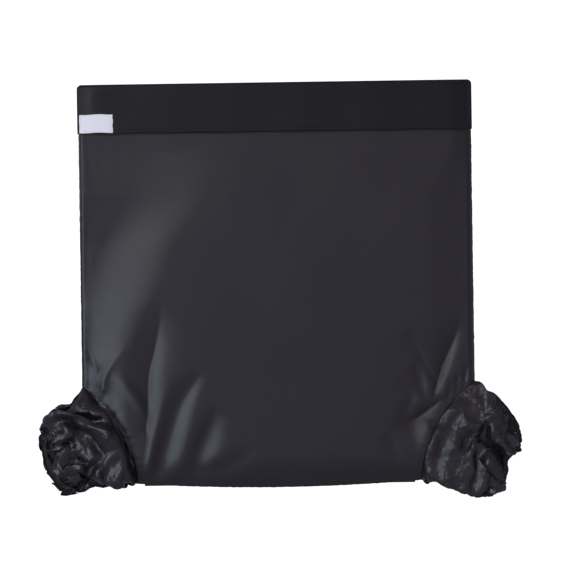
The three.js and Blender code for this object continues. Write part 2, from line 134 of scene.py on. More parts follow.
def facets(x, y, pitch, seed):
    """Crumpled cloth between about -1 and 1: flat triangles of random slope that meet at sharp creases."""
    warped_x = x + 0.3 * pitch * ripples(x, y, 2.5 * pitch, seed + 1, waves=6)
    warped_y = y + 0.3 * pitch * ripples(x, y, 2.5 * pitch, seed + 2, waves=6)
    u = (warped_x - warped_y / math.sqrt(3)) / pitch
    v = warped_y * 2 / math.sqrt(3) / pitch
    column, row = np.floor(u).astype(int), np.floor(v).astype(int)
    u, v = u - column, v - row
    corners = np.random.RandomState(seed).uniform(-1, 1, (64, 64))
    here, right = corners[column % 64, row % 64], corners[(column + 1) % 64, row % 64]
    above, far = corners[column % 64, (row + 1) % 64], corners[(column + 1) % 64, (row + 1) % 64]
    lower = here + (right - here) * u + (above - here) * v
    upper = far + (above - far) * (1 - u) + (right - far) * (1 - v)
    return np.where(u + v < 1, lower, upper)


def spaced(start, stop, fine, coarse, fine_start, fine_stop):
    """Stations from start to stop, fine at both ends and coarse between."""
    low = np.arange(start, start + fine_start, fine)
    high = np.arange(stop, stop - fine_stop, -fine)[::-1]
    count = max(2, int(round((high[0] - low[-1]) / coarse)) + 1)
    middle = np.linspace(low[-1], high[0], count)[1:-1]
    return np.concatenate([low, middle, high])


def through(points, steps=10):
    """A smooth curve through the given points, whose extra columns are carried along."""
    p = np.array(points, float)
    p = np.vstack([2 * p[0] - p[1], p, 2 * p[-1] - p[-2]])
    out = []
    for a, b, c, d in zip(p, p[1:], p[2:], p[3:]):
        for k in range(steps):
            t = k / steps
            out.append(0.5 * (2 * b + (c - a) * t + (2 * a - 5 * b + 4 * c - d) * t * t
                              + (3 * b - a - 3 * c + d) * t ** 3))
    out.append(p[-2])
    return np.array(out)


# ---------------------------------------------------------------- meshes

def grid_faces(rows, columns, closed=False, skip=None, turned=False):
    """Quads over points laid out row by row."""
    faces = []
    for j in range(rows - 1):
        for i in range(columns if closed else columns - 1):
            if skip is not None and skip[j, i]:
                continue
            k = (i + 1) % columns
            quad = (j * columns + i, j * columns + k, (j + 1) * columns + k, (j + 1) * columns + i)
            faces.append(quad[::-1] if turned else quad)
    return faces


def mesh_piece(name, points_mm, faces, material, slot=None, uv_mm=None):
    """An object from points in millimetres, smooth shaded, with cloth coordinates in metres as its UV."""
    mesh = bpy.data.meshes.new(name)
    points = np.asarray(points_mm, float).reshape(-1, 3) * MM
    mesh.from_pydata(points.tolist(), [], faces)
    mesh.polygons.foreach_set("use_smooth", [True] * len(mesh.polygons))
    if uv_mm is not None:
        loops = np.zeros(len(mesh.loops), np.int32)
        mesh.loops.foreach_get("vertex_index", loops)
        layer = mesh.uv_layers.new(name="cloth")
        uv = np.asarray(uv_mm).reshape(-1, 2)[loops] * MM
        layer.data.foreach_set("uv", uv.astype(np.float32).ravel())
    mesh.materials.append(material)
    piece = bpy.data.objects.new(name, mesh)
    bpy.context.scene.collection.objects.link(piece)
    return piece


def joined(parts):
    """One point list and one face list from several."""
    points, faces, start = [], [], 0
    for part_points, part_faces in parts:
        part_points = np.asarray(part_points, float).reshape(-1, 3)
        points.append(part_points)
        faces.extend(tuple(v + start for v in face) for face in part_faces)
        start += len(part_points)
    return np.concatenate(points), faces


def tube(path, radii, sides=8, closed=False):
    """Points and faces of a tube along a path."""
    path = np.asarray(path, float)
    radii = np.broadcast_to(radii, len(path))
    along = np.gradient(path, axis=0)
    if closed:
        along = np.roll(path, -1, axis=0) - np.roll(path, 1, axis=0)
    along /= np.linalg.norm(along, axis=1)[:, None] + 1e-12
    out = np.cross(along, [0, 0, 1.0])
    out /= np.linalg.norm(out, axis=1)[:, None] + 1e-12
    up = np.cross(out, along)
    rings = []
    for k in range(sides):
        turn = 2 * math.pi * k / sides
        rings.append(path + (out * math.cos(turn) + up * math.sin(turn)) * radii[:, None])
    points = np.stack(rings, axis=1)
    rows = len(path)
    if closed:
        points = np.concatenate([points, points[:1]])
        rows += 1
    faces = grid_faces(rows, sides, closed=True)
    if not closed:
        faces.append(tuple(range(sides)))
        faces.append(tuple((rows - 1) * sides + k for k in range(sides))[::-1])
    return points.reshape(-1, 3), faces


# ---------------------------------------------------------------- materials

def start_material(name, colour, roughness, metallic=0.0, specular=0.5):
    """A new material, its node tree and its shader."""
    material = bpy.data.materials.new(name)
    material.use_nodes = True
    tree = material.node_tree
    shader = tree.nodes["Principled BSDF"]
    shader.inputs["Base Color"].default_value = (*colour, 1)
    shader.inputs["Roughness"].default_value = roughness
    shader.inputs["Metallic"].default_value = metallic
    shader.inputs["Specular IOR Level"].default_value = specular
    return material, tree, shader


def node(tree, kind, inputs=None, **settings):
    """A new node; an input may be a value or another node's socket."""
    made = tree.nodes.new(kind)
    for key, value in settings.items():
        setattr(made, key, value)
    for key, value in (inputs or {}).items():
        if isinstance(value, bpy.types.NodeSocket):
            tree.links.new(value, made.inputs[key])
        else:
            made.inputs[key].default_value = value
    return made


def maths(tree, operation, a, b=0.0):
    """The socket of a sum, product or other function of two values."""
    return node(tree, "ShaderNodeMath", {0: a, 1: b}, operation=operation).outputs[0]


def between(tree, value, low, high):
    """A value of 0 to 1 stretched from low to high."""
    spread = node(tree, "ShaderNodeMapRange", {"Value": value, "To Min": low, "To Max": high})
    return spread.outputs["Result"]


def noise(tree, vector, scale, detail=3.0, roughness=0.5):
    """Soft random shade of 0 to 1."""
    inputs = {"Vector": vector, "Scale": scale, "Detail": detail, "Roughness": roughness}
    return node(tree, "ShaderNodeTexNoise", inputs).outputs["Fac"]


def tinted(tree, value, dark, light):
    """A colour between two, by value."""
    mix = node(tree, "ShaderNodeMix", data_type="RGBA")
    tree.links.new(value, mix.inputs["Factor"])
    mix.inputs[6].default_value = (*dark, 1)
    mix.inputs[7].default_value = (*light, 1)
    return mix.outputs[2]


def weave_height(tree, vector, pitch):
    """Over-and-under threads of a plain weave with that pitch in metres."""
    parts = node(tree, "ShaderNodeSeparateXYZ", {0: vector})
    waves = []
    for axis in (0, 1):
        turn = maths(tree, "MULTIPLY", parts.outputs[axis], 2 * math.pi / pitch)
        waves.append(maths(tree, "SINE", turn))
    return maths(tree, "MULTIPLY", waves[0], waves[1])


def bumped(tree, shader, layers):
    """Chains bump layers, each (height, strength, distance in metres), into the shader's normal."""
    normal = None
    for height, strength, distance in layers:
        inputs = {"Height": height, "Strength": strength, "Distance": distance}
        bump = node(tree, "ShaderNodeBump", inputs)
        if normal is not None:
            tree.links.new(normal, bump.inputs["Normal"])
        normal = bump.outputs["Normal"]
    tree.links.new(normal, shader.inputs["Normal"])


def cloth_vector(tree):
    """Where a point lies on the flat cloth, in metres."""
    return node(tree, "ShaderNodeUVMap", uv_map="cloth").outputs["UV"]


def place_vector(tree):
    """Where a point lies in the object, in metres."""
    return node(tree, "ShaderNodeTexCoord").outputs["Object"]


def coated_cloth(name, dark, light, roughness, specular=0.5, sheen=0.06, crease=0.06, crinkle=0.0):
    """Smooth coated nylon: a fine weave under a satin coat, with faint rubbing and small creases."""
    material, tree, shader = start_material(name, dark, roughness[0], specular=specular)
    cloth, place = cloth_vector(tree), place_vector(tree)
    rubbing = noise(tree, place, 14.0, 5.0, 0.6)
    specks = noise(tree, cloth, 420.0, 2.0)
    tree.links.new(tinted(tree, rubbing, dark, light), shader.inputs["Base Color"])
    tree.links.new(between(tree, rubbing, roughness[0], roughness[1]), shader.inputs["Roughness"])
    shader.inputs["Sheen Weight"].default_value = sheen
    shader.inputs["Sheen Roughness"].default_value = 0.4
    creases = noise(tree, place, 95.0, 4.0, 0.55)
    layers = [
        (creases, crease, 0.0012),
        (weave_height(tree, cloth, 0.0007), 0.35, 0.00006),
        (specks, 0.2, 0.00008),
    ]
    if crinkle:
        cells = node(tree, "ShaderNodeTexVoronoi", {"Vector": place, "Scale": 130.0, "Randomness": 1.0},
                     feature="DISTANCE_TO_EDGE")
        layers.insert(0, (cells.outputs["Distance"], crinkle, 0.0022))
    bumped(tree, shader, layers)
    return material


def matte_cloth(name, dark, light, pitch=0.0008, sheen=0.3):
    """Uncoated cloth or tape with an open, clearly woven face."""
    material, tree, shader = start_material(name, dark, 0.85, specular=0.25)
    place = place_vector(tree)
    lint = noise(tree, place, 700.0, 3.0)
    tree.links.new(tinted(tree, lint, dark, light), shader.inputs["Base Color"])
    shader.inputs["Sheen Weight"].default_value = sheen
    bumped(tree, shader, [(weave_height(tree, place, pitch), 0.6, 0.00015), (lint, 0.3, 0.0001)])
    return material


def ribbed_tape(name, dark, light, pitch):
    """Woven tape or elastic with ribs across it."""
    material, tree, shader = start_material(name, dark, 0.7, specular=0.3)
    place = place_vector(tree)
    along = node(tree, "ShaderNodeSeparateXYZ", {0: place}).outputs[0]
    ribs = maths(tree, "SINE", maths(tree, "MULTIPLY", along, 2 * math.pi / pitch))
    lint = noise(tree, place, 900.0, 3.0)
    tree.links.new(tinted(tree, lint, dark, light), shader.inputs["Base Color"])
    shader.inputs["Sheen Weight"].default_value = 0.2
    bumped(tree, shader, [(ribs, 0.5, 0.0002), (lint, 0.4, 0.0001)])
    return material


def napped(name, dark, light, scale, height):
    """The nap of a touch fastener: dense loops or stiff hooks."""
    material, tree, shader = start_material(name, dark, 0.8, specular=0.3)
    place = place_vector(tree)
    cells = node(tree, "ShaderNodeTexVoronoi", {"Vector": place, "Scale": scale}).outputs["Distance"]
    fuzz = noise(tree, place, scale * 2.5, 3.0)
    tree.links.new(tinted(tree, cells, light, dark), shader.inputs["Base Color"])
    shader.inputs["Sheen Weight"].default_value = 0.4
    bumped(tree, shader, [(cells, 0.9, height), (fuzz, 0.6, height / 2)])
    return material


def worn_metal(name, colour, roughness):
    """Painted or plated metal with fine scratches and a little wear."""
    material, tree, shader = start_material(name, colour, roughness, metallic=0.85)
    place = place_vector(tree)
    drawn_out = node(tree, "ShaderNodeMapping", {"Vector": place, "Scale": (60, 900, 900)}).outputs[0]
    scratches = noise(tree, drawn_out, 6.0, 4.0)
    wear = noise(tree, place, 260.0, 3.0)
    worn = tuple(min(1.0, c * 2.6 + 0.02) for c in colour)
    tree.links.new(tinted(tree, between(tree, wear, -0.4, 1.0), colour, worn), shader.inputs["Base Color"])
    tree.links.new(between(tree, scratches, roughness - 0.08, roughness + 0.16), shader.inputs["Roughness"])
    bumped(tree, shader, [(scratches, 0.15, 0.00005)])
    return material


def moulded(name, dark, light):
    """Nylon coil or thread."""
    material, tree, shader = start_material(name, dark, 0.45)
    fleck = noise(tree, place_vector(tree), 1500.0, 2.0)
    tree.links.new(tinted(tree, fleck, dark, light), shader.inputs["Base Color"])
    bumped(tree, shader, [(fleck, 0.2, 0.00005)])
    return material


def label_material(name):
    """White woven satin label, slightly soiled."""
    material, tree, shader = start_material(name, (0.9, 0.9, 0.9), 0.55, specular=0.35)
    place = place_vector(tree)
    soil = noise(tree, place, 70.0, 4.0)
    tree.links.new(tinted(tree, soil, (0.86, 0.87, 0.9), (0.96, 0.96, 0.97)), shader.inputs["Base Color"])
    shader.inputs["Sheen Weight"].default_value = 0.2
    bumped(tree, shader, [(weave_height(tree, place, 0.0006), 0.5, 0.0001), (soil, 0.15, 0.0006)])
    return material


BODY_CLOTH = coated_cloth("body_coated_cloth", (0.0062, 0.0055, 0.0076), (0.0084, 0.0075, 0.0100),
                          (0.34, 0.40))
# Painted shade: the flap is the same coated cloth as the body, given a darker colour (and less gloss) so that
# its flat face looks as dark as it does in shade under the dim room overhead.
FLAP_CLOTH_PAINTED_SHADE = coated_cloth("flap_cloth_painted_shade", (0.0030, 0.0026, 0.0042), (0.0046, 0.0041, 0.0060),
                          (0.40, 0.46), specular=0.27, sheen=0.04)
# Painted light: the sleeves are the same coated cloth as the body, given a lighter colour so that their
# crumpled cloth looks as bright overall as the light on it makes it look.
SLEEVE_CLOTH_PAINTED_LIGHT = coated_cloth("sleeve_cloth_painted_light", (0.0072, 0.0063, 0.0080), (0.0100, 0.0090, 0.0112),
                            (0.23, 0.30), specular=0.50, crease=0.12, crinkle=0.30)
LINING = matte_cloth("lining_weave", (0.004, 0.004, 0.005), (0.010, 0.010, 0.011), sheen=0.08)
BINDING = matte_cloth("binding_weave", (0.010, 0.010, 0.011), (0.022, 0.022, 0.024), pitch=0.0012)
ZIP_TAPE = ribbed_tape("zip_tape_ribs", (0.010, 0.010, 0.011), (0.024, 0.024, 0.026), 0.0009)
ELASTIC = ribbed_tape("elastic_ribs", (0.012, 0.012, 0.013), (0.030, 0.030, 0.032), 0.0016)
COIL = moulded("nylon_coil", (0.012, 0.012, 0.013), (0.028, 0.028, 0.030))
THREAD = moulded("polyester_thread", (0.010, 0.010, 0.012), (0.026, 0.026, 0.030))
PALE_THREAD = moulded("pale_thread", (0.70, 0.70, 0.74), (0.85, 0.85, 0.88))
METAL = worn_metal("black_zip_metal", (0.035, 0.035, 0.038), 0.34)
LOOPS = napped("loop_nap", (0.006, 0.006, 0.007), (0.030, 0.030, 0.032), 900.0, 0.0006)
HOOKS = napped("hook_nap", (0.006, 0.006, 0.007), (0.035, 0.035, 0.038), 620.0, 0.0009)
LABEL = label_material("label_satin")


# ---------------------------------------------------------------- the body's cloth

EDGE_HEIGHT = 1.7         # of the cloth where it is sewn
LOWEST = 1.2              # the front cloth never sinks below this
# How the cloth climbs from the left seam to the filled middle. Each station up the side is
# (y, x where the climb starts, x where it ends, how high it already stands beside the seam).
LEFT_CLIMB = np.array([
    (-270, -268, -205, 3.0), (-100, -270, -206, 3.0), (-25, -271, -178, 2.6), (20, -262, -152, 3.0),
    (66, -240, -138, 4.5), (130, -205, -92, 9.0), (190, -190, -85, 9.5), (225, -230, -150, 11.0),
])
BORDER_WIDTH = 4.5
# At the right seam: width of the steep edge, its share of the height, width of the whole climb, and that
# width beside the mouth, where the zips hold the cloth up.
RIGHT_CLIMB = (9.0, 0.50, 70.0, 28.0)
NARROWING = (110.0, 95.0)    # where the right climb starts to narrow, and over what length
BOTTOM_SLOPE = 46.0
BOTTOM_BOW = (-2.9, 7.2)     # how far the bottom edge sags in its middle and lifts at its ends
MOUTH_RAMP = (60.0, 205.0)   # where the cloth falls from the filled middle to the flap's bed
FLAP_BED = 14.2
ZIP_BED = TAPE_HIGH[2] + 0.5
ZIP_STEP = (241.0, 9.0)      # where the cloth rises to the zip, and over what length
FOLD_STRENGTH = 1.12
PUCKER = 0.30                # height of the gathers beside a seam
SEAM_REACH = 7.0             # how far an armhole's gathers reach
SEAM_DIP = 1.3               # how far the stitching pulls the cloth down

# Each fold is a line at the bottom of its trough (or along the top of its ridge, where its depth is
# negative). Its points are (x, y, depth, width of the left flank, width of the right flank).
SOFT, CRISP = 2.0, 1.15
FOLDS = [
    # the long fold that runs up from the left armhole
    (CRISP, [(-160, -18, 0.0, 18, 12), (-163, -50, 2.6, 26, 13), (-170, -85, 5.6, 30, 14),
             (-177, -113, 7.0, 26, 14), (-179, -140, 7.0, 18, 13), (-180, -165, 5.5, 11, 11),
             (-183, -190, 3.4, 7, 10)]),
    # the sharp shoulder above the armhole
    (CRISP, [(-206, -72, 0.0, 16, 10), (-226, -99, -2.0, 20, 10), (-238, -120, -3.6, 16, 8),
             (-240, -134, -3.4, 9, 6)]),
    # the low ridge between them
    (SOFT, [(-229, -112, 0.0, 7, 8), (-210, -130, -2.2, 8, 9), (-197, -147, -3.2, 8, 9),
            (-187, -165, -2.6, 7, 8), (-182, -180, -0.8, 6, 7)]),
    # second fold, towards the bottom seam
    (SOFT, [(-104, -112, 0.0, 9, 8), (-121, -134, 3.0, 14, 10), (-138, -160, 5.4, 17, 15),
            (-149, -188, 6.4, 17, 18), (-157, -216, 6.4, 16, 19), (-166, -242, 5.2, 13, 18),
            (-173, -262, 3.0, 11, 15)]),
    # crest between the first two
    (SOFT, [(-150, -130, 0.0, 10, 12), (-156, -160, -1.6, 9, 12), (-168, -200, -3.2, 8, 11),
            (-178, -240, -3.2, 6, 9), (-184, -264, -1.4, 6, 8)]),
    # third fold
    (SOFT, [(-84, -160, 0.0, 9, 12), (-95, -188, 3.6, 11, 17), (-107, -215, 5.6, 12, 20),
            (-115, -240, 4.8, 12, 18), (-118, -260, 2.4, 12, 16)]),
    (SOFT, [(-30, -220, 0.0, 10, 10), (-56, -234, 2.0, 14, 12), (-82, -246, 2.6, 14, 12),
            (-104, -256, 1.2, 12, 12)]),
    # nick at the left edge
    (CRISP, [(-266, -76, 0.0, 5, 5), (-260, -88, 2.2, 5, 5), (-252, -103, 2.0, 4, 6),
             (-247, -113, 0.0, 4, 5)]),
    # folds that fan out from the right armhole
    (CRISP, [(251, -44, 0.0, 14, 8), (244, -68, 4.4, 20, 9), (234, -92, 7.4, 20, 9), (225, -113, 8.2, 16, 9),
             (216, -140, 5.6, 10, 7), (211, -156, 1.0, 7, 5)]),
    (CRISP, [(178, -58, 0.0, 12, 7), (186, -76, 2.6, 16, 8), (198, -99, 4.0, 15, 8), (210, -121, 2.4, 9, 6),
             (216, -132, 0.0, 6, 5)]),
    (SOFT, [(187, -102, 0.0, 9, 7), (191, -118, 2.8, 11, 8), (196, -136, 4.0, 10, 8),
            (202, -156, 1.0, 7, 6)]),
    (SOFT, [(162, -122, 0.0, 9, 8), (172, -136, 1.6, 10, 8), (182, -152, 2.4, 9, 8), (174, -172, 1.6, 9, 8),
            (165, -188, 0.0, 9, 8)]),
    # the deep pull below them, and the facet it leaves against the seam
    (CRISP, [(150, -198, 0.0, 12, 12), (168, -190, 4.4, 12, 16), (184, -184, 7.4, 12, 20),
             (202, -172, 7.4, 10, 18), (220, -158, 3.6, 8, 10)]),
    (SOFT, [(199, -180, 0.0, 12, 8), (205, -198, -3.0, 15, 8), (204, -216, -3.4, 15, 8),
            (194, -234, -0.5, 9, 7)]),
    (SOFT, [(146, -200, 0.0, 9, 6), (152, -212, 2.4, 10, 7), (161, -228, 2.8, 9, 8), (176, -240, 1.0, 8, 8)]),
    # short gathers below the right side seam
    (SOFT, [(246, -118, 0.0, 4, 3), (246, -131, 2.4, 4, 3), (244, -145, 1.4, 4, 3)]),
    (SOFT, [(259, -104, 0.0, 4, 3), (258, -120, 2.6, 4, 3), (254, -137, 1.6, 4, 3)]),
    (SOFT, [(236, -124, 0.0, 4, 3), (236, -140, 2.0, 4, 3), (233, -154, 1.0, 4, 3)]),
]


def fold_height(x, y, fold):
    """What one fold adds to the cloth's height at each (x, y)."""
    power, points = fold
    line = through(points)
    best = np.full(x.shape, 1e9)
    depth, reach = np.zeros(x.shape), np.ones(x.shape)
    for a, b in zip(line, line[1:]):
        run = b[:2] - a[:2]
        t = np.clip(((x - a[0]) * run[0] + (y - a[1]) * run[1]) / (run @ run), 0, 1)
        across = np.hypot(x - a[0] - run[0] * t, y - a[1] - run[1] * t)
        # The left flank is the one towards -X, whichever way the line is listed.
        turn = run[0] * (y - a[1]) - run[1] * (x - a[0])
        is_left = turn * math.copysign(1.0, -run[1]) < 0
        left, right = (a[k] + (b[k] - a[k]) * t for k in (3, 4))
        closer = across < best
        best = np.where(closer, across, best)
        depth = np.where(closer, a[2] + (b[2] - a[2]) * t, depth)
        reach = np.where(closer, np.where(is_left, left, right), reach)
    return -depth * np.exp(-(best / np.maximum(reach, 1.0)) ** power)


def armhole_distance(x, y):
    """How far a point of the body lies from the nearer armhole, in millimetres."""
    return np.hypot(np.abs(x) - ARC_CENTRE[0], y - ARC_CENTRE[1]) - ARMHOLE_RADIUS


def filled_share(x, y, level):
    """How far the cloth has climbed from its seams to the filled middle, 0 to 1."""
    start, stop, lift = [np.interp(y, LEFT_CLIMB[:, 0], LEFT_CLIMB[:, k]) for k in (1, 2, 3)]
    border = lift / (level - EDGE_HEIGHT)
    left = border * rise(x + HALF_WIDTH, BORDER_WIDTH, 2.0)
    left = left + (1 - border) * smooth((x - start) / (stop - start))
    edge_width, share, low_climb, high_climb = RIGHT_CLIMB
    climb = low_climb + (high_climb - low_climb) * smooth((y - NARROWING[0]) / NARROWING[1])
    right = share * rise(HALF_WIDTH - x, edge_width, 2.0)
    right = right + (1 - share) * smooth((HALF_WIDTH - x) / climb)
    return left * right * rise(y - BOTTOM, BOTTOM_SLOPE, 2.2)


def front_height(x, y):
    """Height of the outer front cloth."""
    x, y = np.asarray(x, float), np.asarray(y, float)
    ramp = smooth((y - MOUTH_RAMP[0]) / (MOUTH_RAMP[1] - MOUTH_RAMP[0]))
    level = PLATEAU + (FLAP_BED - PLATEAU) * ramp
    level = level + (ZIP_BED - FLAP_BED) * smooth((y - ZIP_STEP[0]) / ZIP_STEP[1])
    height = EDGE_HEIGHT + (level - EDGE_HEIGHT) * filled_share(x, y, level)
    edge = np.minimum(HALF_WIDTH - np.abs(x), y - BOTTOM)
    inland = smooth(edge / 22)
    folds = sum(fold_height(x, y, fold) for fold in FOLDS)
    height = height + FOLD_STRENGTH * folds * inland ** 0.6
    below_zips = smooth((TAPE_LOW[1] - 8 - y) / 60)
    waves = 0.50 * ripples(x, y, 170.0, 3) + 0.04 * ripples(x, y, 40.0, 4)
    height = height + below_zips * inland * waves
    pucker = ripples(x * 0.2, y, 13.0, 5) + ripples(x, y * 0.2, 13.0, 6)
    height = height + PUCKER * pucker * np.exp(-np.maximum(edge, 0) / 9.0) * smooth(edge / 3)
    away = np.maximum(armhole_distance(x, y), 0)
    near_armhole = np.exp(-away / SEAM_REACH)
    around = np.arctan2(y - ARC_CENTRE[1], np.abs(x) - ARC_CENTRE[0]) * ARMHOLE_RADIUS
    gather = ripples(around, away * 0.3 + np.sign(x) * 300, 13.0, 7) * near_armhole
    height = height + PUCKER * gather - SEAM_DIP * near_armhole * smooth(height / 8)
    return np.maximum(height, LOWEST)


def half_width_at(y, inset=0.0):
    """Half the body's width at y: the side seam, or the armhole below it."""
    radius = ARMHOLE_RADIUS + inset
    reach = np.sqrt(np.maximum(radius ** 2 - (y - ARC_CENTRE[1]) ** 2, 0))
    return np.minimum(HALF_WIDTH - inset, ARC_CENTRE[0] - reach)


def bowed(x, y):
    """Moves points near the bottom seam to its slightly sagging line."""
    bow = BOTTOM_BOW[0] + BOTTOM_BOW[1] * (x / BOTTOM_END[0]) ** 2
    return y + np.clip(bow, -4, 5) * np.exp(-(y - BOTTOM) / 22.0)


def body_grid(inset, top, fine=1.7, coarse=4.5):
    """Rows and columns of (x, y) over the body's outline, finer where the folds are."""
    half = HALF_WIDTH - inset
    across = spaced(-half, half, fine, coarse, 165, 135) / half
    up = spaced(BOTTOM + inset, top, fine, 3.4, 215, 24)
    y = np.repeat(up[:, None], len(across), axis=1)
    x = across[None, :] * half_width_at(y, inset)
    return x, y


def zip_window(x, y, low, high, half):
    """Which cells of a grid lie in a zip's opening."""
    cx = (x[:-1, :-1] + x[1:, 1:]) / 2
    cy = (y[:-1, :-1] + y[1:, 1:]) / 2
    return (cy > low) & (cy < high) & (np.abs(cx) < half)


def laid_cloth(name, x, y, z, stands_for, material, slot, skip=None, turned=False):
    """One of the bag's broad cloths: a grid of points, laid flat."""
    piece = mesh_piece(name, np.stack([x, bowed(x, y), z], -1),
                       grid_faces(*x.shape, skip=skip, turned=turned), material, slot, np.stack([x, y], -1))
    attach(piece, "bag")
    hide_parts(stands_for)


def outer_front():
    """The front cloth, open over the outer zip."""
    x, y = body_grid(0.0, TOP - 2.0)
    skip = zip_window(x, y, TAPE_LOW[1] + 2.0, BACK_TAPE_HIGH[1] - 2.0, TAPE_HIGH[0] - 2)
    laid_cloth("outer_front_cloth", x, y, front_height(x, y), "outer_front_panel", BODY_CLOTH, "coated_cloth",
               skip=skip)


def outer_back():
    """The back cloth, which the bag lies on."""
    x, y = body_grid(0.0, TOP, fine=3.2, coarse=6.0)
    edge = np.minimum(HALF_WIDTH - np.abs(x), y - BOTTOM)
    lift = 0.8 * np.exp(-np.maximum(edge, 0) / 2.0)
    z = 0.35 + lift + 0.25 * (1 + ripples(x, y, 60.0, 11) / 3) * smooth(edge / 12)
    laid_cloth("outer_back_cloth", x, y, np.maximum(z, 0.1), "outer_back_panel", BODY_CLOTH, "coated_cloth",
               turned=True)


def inner_front():
    """The inner bag's front cloth, under the outer one and down at the inner zip."""
    x, y = body_grid(INNER_INSET, box_mm("inner_front_panel")[1][1], fine=3.0, coarse=6.0)
    edge = np.minimum(HALF_WIDTH - INNER_INSET - np.abs(x), y - BOTTOM - INNER_INSET)
    own = 2.6 + 13.6 * rise(edge, 50.0, 2.2)
    down = smooth((y - 150.0) / 50.0)
    own = own * (1 - down) + (INNER_TAPE_LOW[2] + 0.3) * down
    z = np.minimum(own, front_height(x, y) - 1.6)
    skip = zip_window(x, y, INNER_TAPE_LOW[1] + 1.0, INNER_TAPE_HIGH[1] - 1.0, INNER_TAPE_HIGH[0] - 2)
    laid_cloth("inner_front_cloth", x, y, z, "inner_front_panel", LINING, "lining_cloth",
               skip=skip)


def armhole_points(angle):
    """Points of the right-hand armhole's arc, by their angle about its centre."""
    x = ARC_CENTRE[0] + ARMHOLE_RADIUS * np.cos(angle)
    y = ARC_CENTRE[1] + ARMHOLE_RADIUS * np.sin(angle)
    return x, y


def seam_rolls():
    """The rolled edges where the front and back cloths are sewn and turned."""
    parts = []
    for side in SIDES.values():
        y = np.arange(SIDE_END[1], TOP - 3, 1.5)
        wobble = 0.15 * ripples(y, y * 0, 9.0, 21 + side)
        path = np.stack([np.full_like(y, side * (HALF_WIDTH - 0.3)) + wobble, y, 1.15 + 0 * y], -1)
        parts.append(tube(path, 0.75 + 0.12 * np.sin(y * 2.1) + 0.1 * ripples(y, y, 11.0, 23)))
        x, y = armhole_points(np.linspace(ARC_START, ARC_STOP, 130))
        x = side * x
        z = front_height(x, y) - 0.35 + 0.12 * ripples(x, y, 7.0, 27)
        parts.append(tube(np.stack([x, bowed(x, y), z], -1), 0.6 + 0.15 * ripples(x, y, 6.0, 28)))
    x = np.arange(-BOTTOM_END[0], BOTTOM_END[0] + 1, 1.5)
    y = bowed(x, np.full_like(x, BOTTOM)) + 0.15 * ripples(x, x * 0, 9.0, 25)
    parts.append(tube(np.stack([x, y + 0.3, 1.15 + 0 * x], -1), 0.75 + 0.12 * np.sin(x * 2.1)))
    points, faces = joined(parts)
    piece = mesh_piece("seam_roll", points, faces, BODY_CLOTH, "coated_cloth", points[:, :2])
    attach(piece, "bag")


def stitch(start, end, lift, thickness=0.32):
    """One short stitch, as a flattened bead between two holes."""
    start, end = np.asarray(start, float), np.asarray(end, float)
    t = np.array([0.0, 0.15, 0.5, 0.85, 1.0])
    path = start + (end - start) * t[:, None]
    path[:, 2] += lift * np.sin(np.pi * t)
    return tube(path, thickness * np.array([0.35, 0.85, 1.0, 0.85, 0.35]), sides=6)


def stitch_row(points, pitch=3.2, gap=0.7, lift=0.12, thickness=0.32):
    """Stitches along a line of points lying on the cloth."""
    points = np.asarray(points, float)
    run = np.concatenate([[0], np.cumsum(np.linalg.norm(np.diff(points, axis=0), axis=1))])
    out = []
    at = 0.0
    while at + pitch < run[-1]:
        ends = [np.array([np.interp(d, run, points[:, k]) for k in range(3)]) for d in (at, at + pitch - gap)]
        out.append(stitch(*ends, lift, thickness))
        at += pitch
    return out


# ---------------------------------------------------------------- the flap

FLAP_TOP = FLAP_HIGH[2] + 0.1
FREE_EDGE = FLAP_LOW[1] - 0.6
CORNER = 6.0              # radius of the two corners at the fold
DROOP = 3.4               # how far the ends hang
DROOP_RUN = (236.0, 34.0)    # where they start to, and over what length
HEM = 3.4                 # from the free edge to its stitching
# Round the mouth, from below: (distance past the end of the bag, height, share of the droop).
FLAP_FOLD = [(-0.5, 1.4, 0), (-0.1, 6.0, 0), (0.2, 11.0, 0), (0.3, 15.0, 0.2), (0.1, 17.3, 0.7),
             (-0.5, 18.8, 1), (-1.6, 19.6, 1)]
# Round the free edge, from above: (distance in from it, height below the upper face).
FLAP_HEM = [(0.5, -0.12), (0.05, -0.45), (0.0, -0.8), (0.15, -1.15), (0.7, -1.35), (3.0, -1.4), (6.5, -1.4)]


def flap_droop(x):
    """How far the flap hangs towards its ends."""
    return DROOP * smooth((np.abs(x) - DROOP_RUN[0]) / DROOP_RUN[1]) ** 1.4


def flap_top(x, y):
    """Height of the flap's upper face."""
    soft = smooth((y - FREE_EDGE) / 8) * smooth((TOP - y) / 8)
    z = FLAP_TOP + soft * (0.35 + 0.30 * ripples(x, y, 120.0, 31) + 0.07 * ripples(x, y, 26.0, 32))
    # A faint crease at the left end, between the label and the fold.
    wrinkle = np.exp(-((x + 250 - (y - 262) * 0.12) / 4.5) ** 2)
    wrinkle = wrinkle * smooth((y - 246) / 8) * smooth((281 - y) / 8)
    groove = np.exp(-((y - FREE_EDGE - HEM) / 0.8) ** 2)
    return z + 0.35 * wrinkle - 0.16 * groove - flap_droop(x)


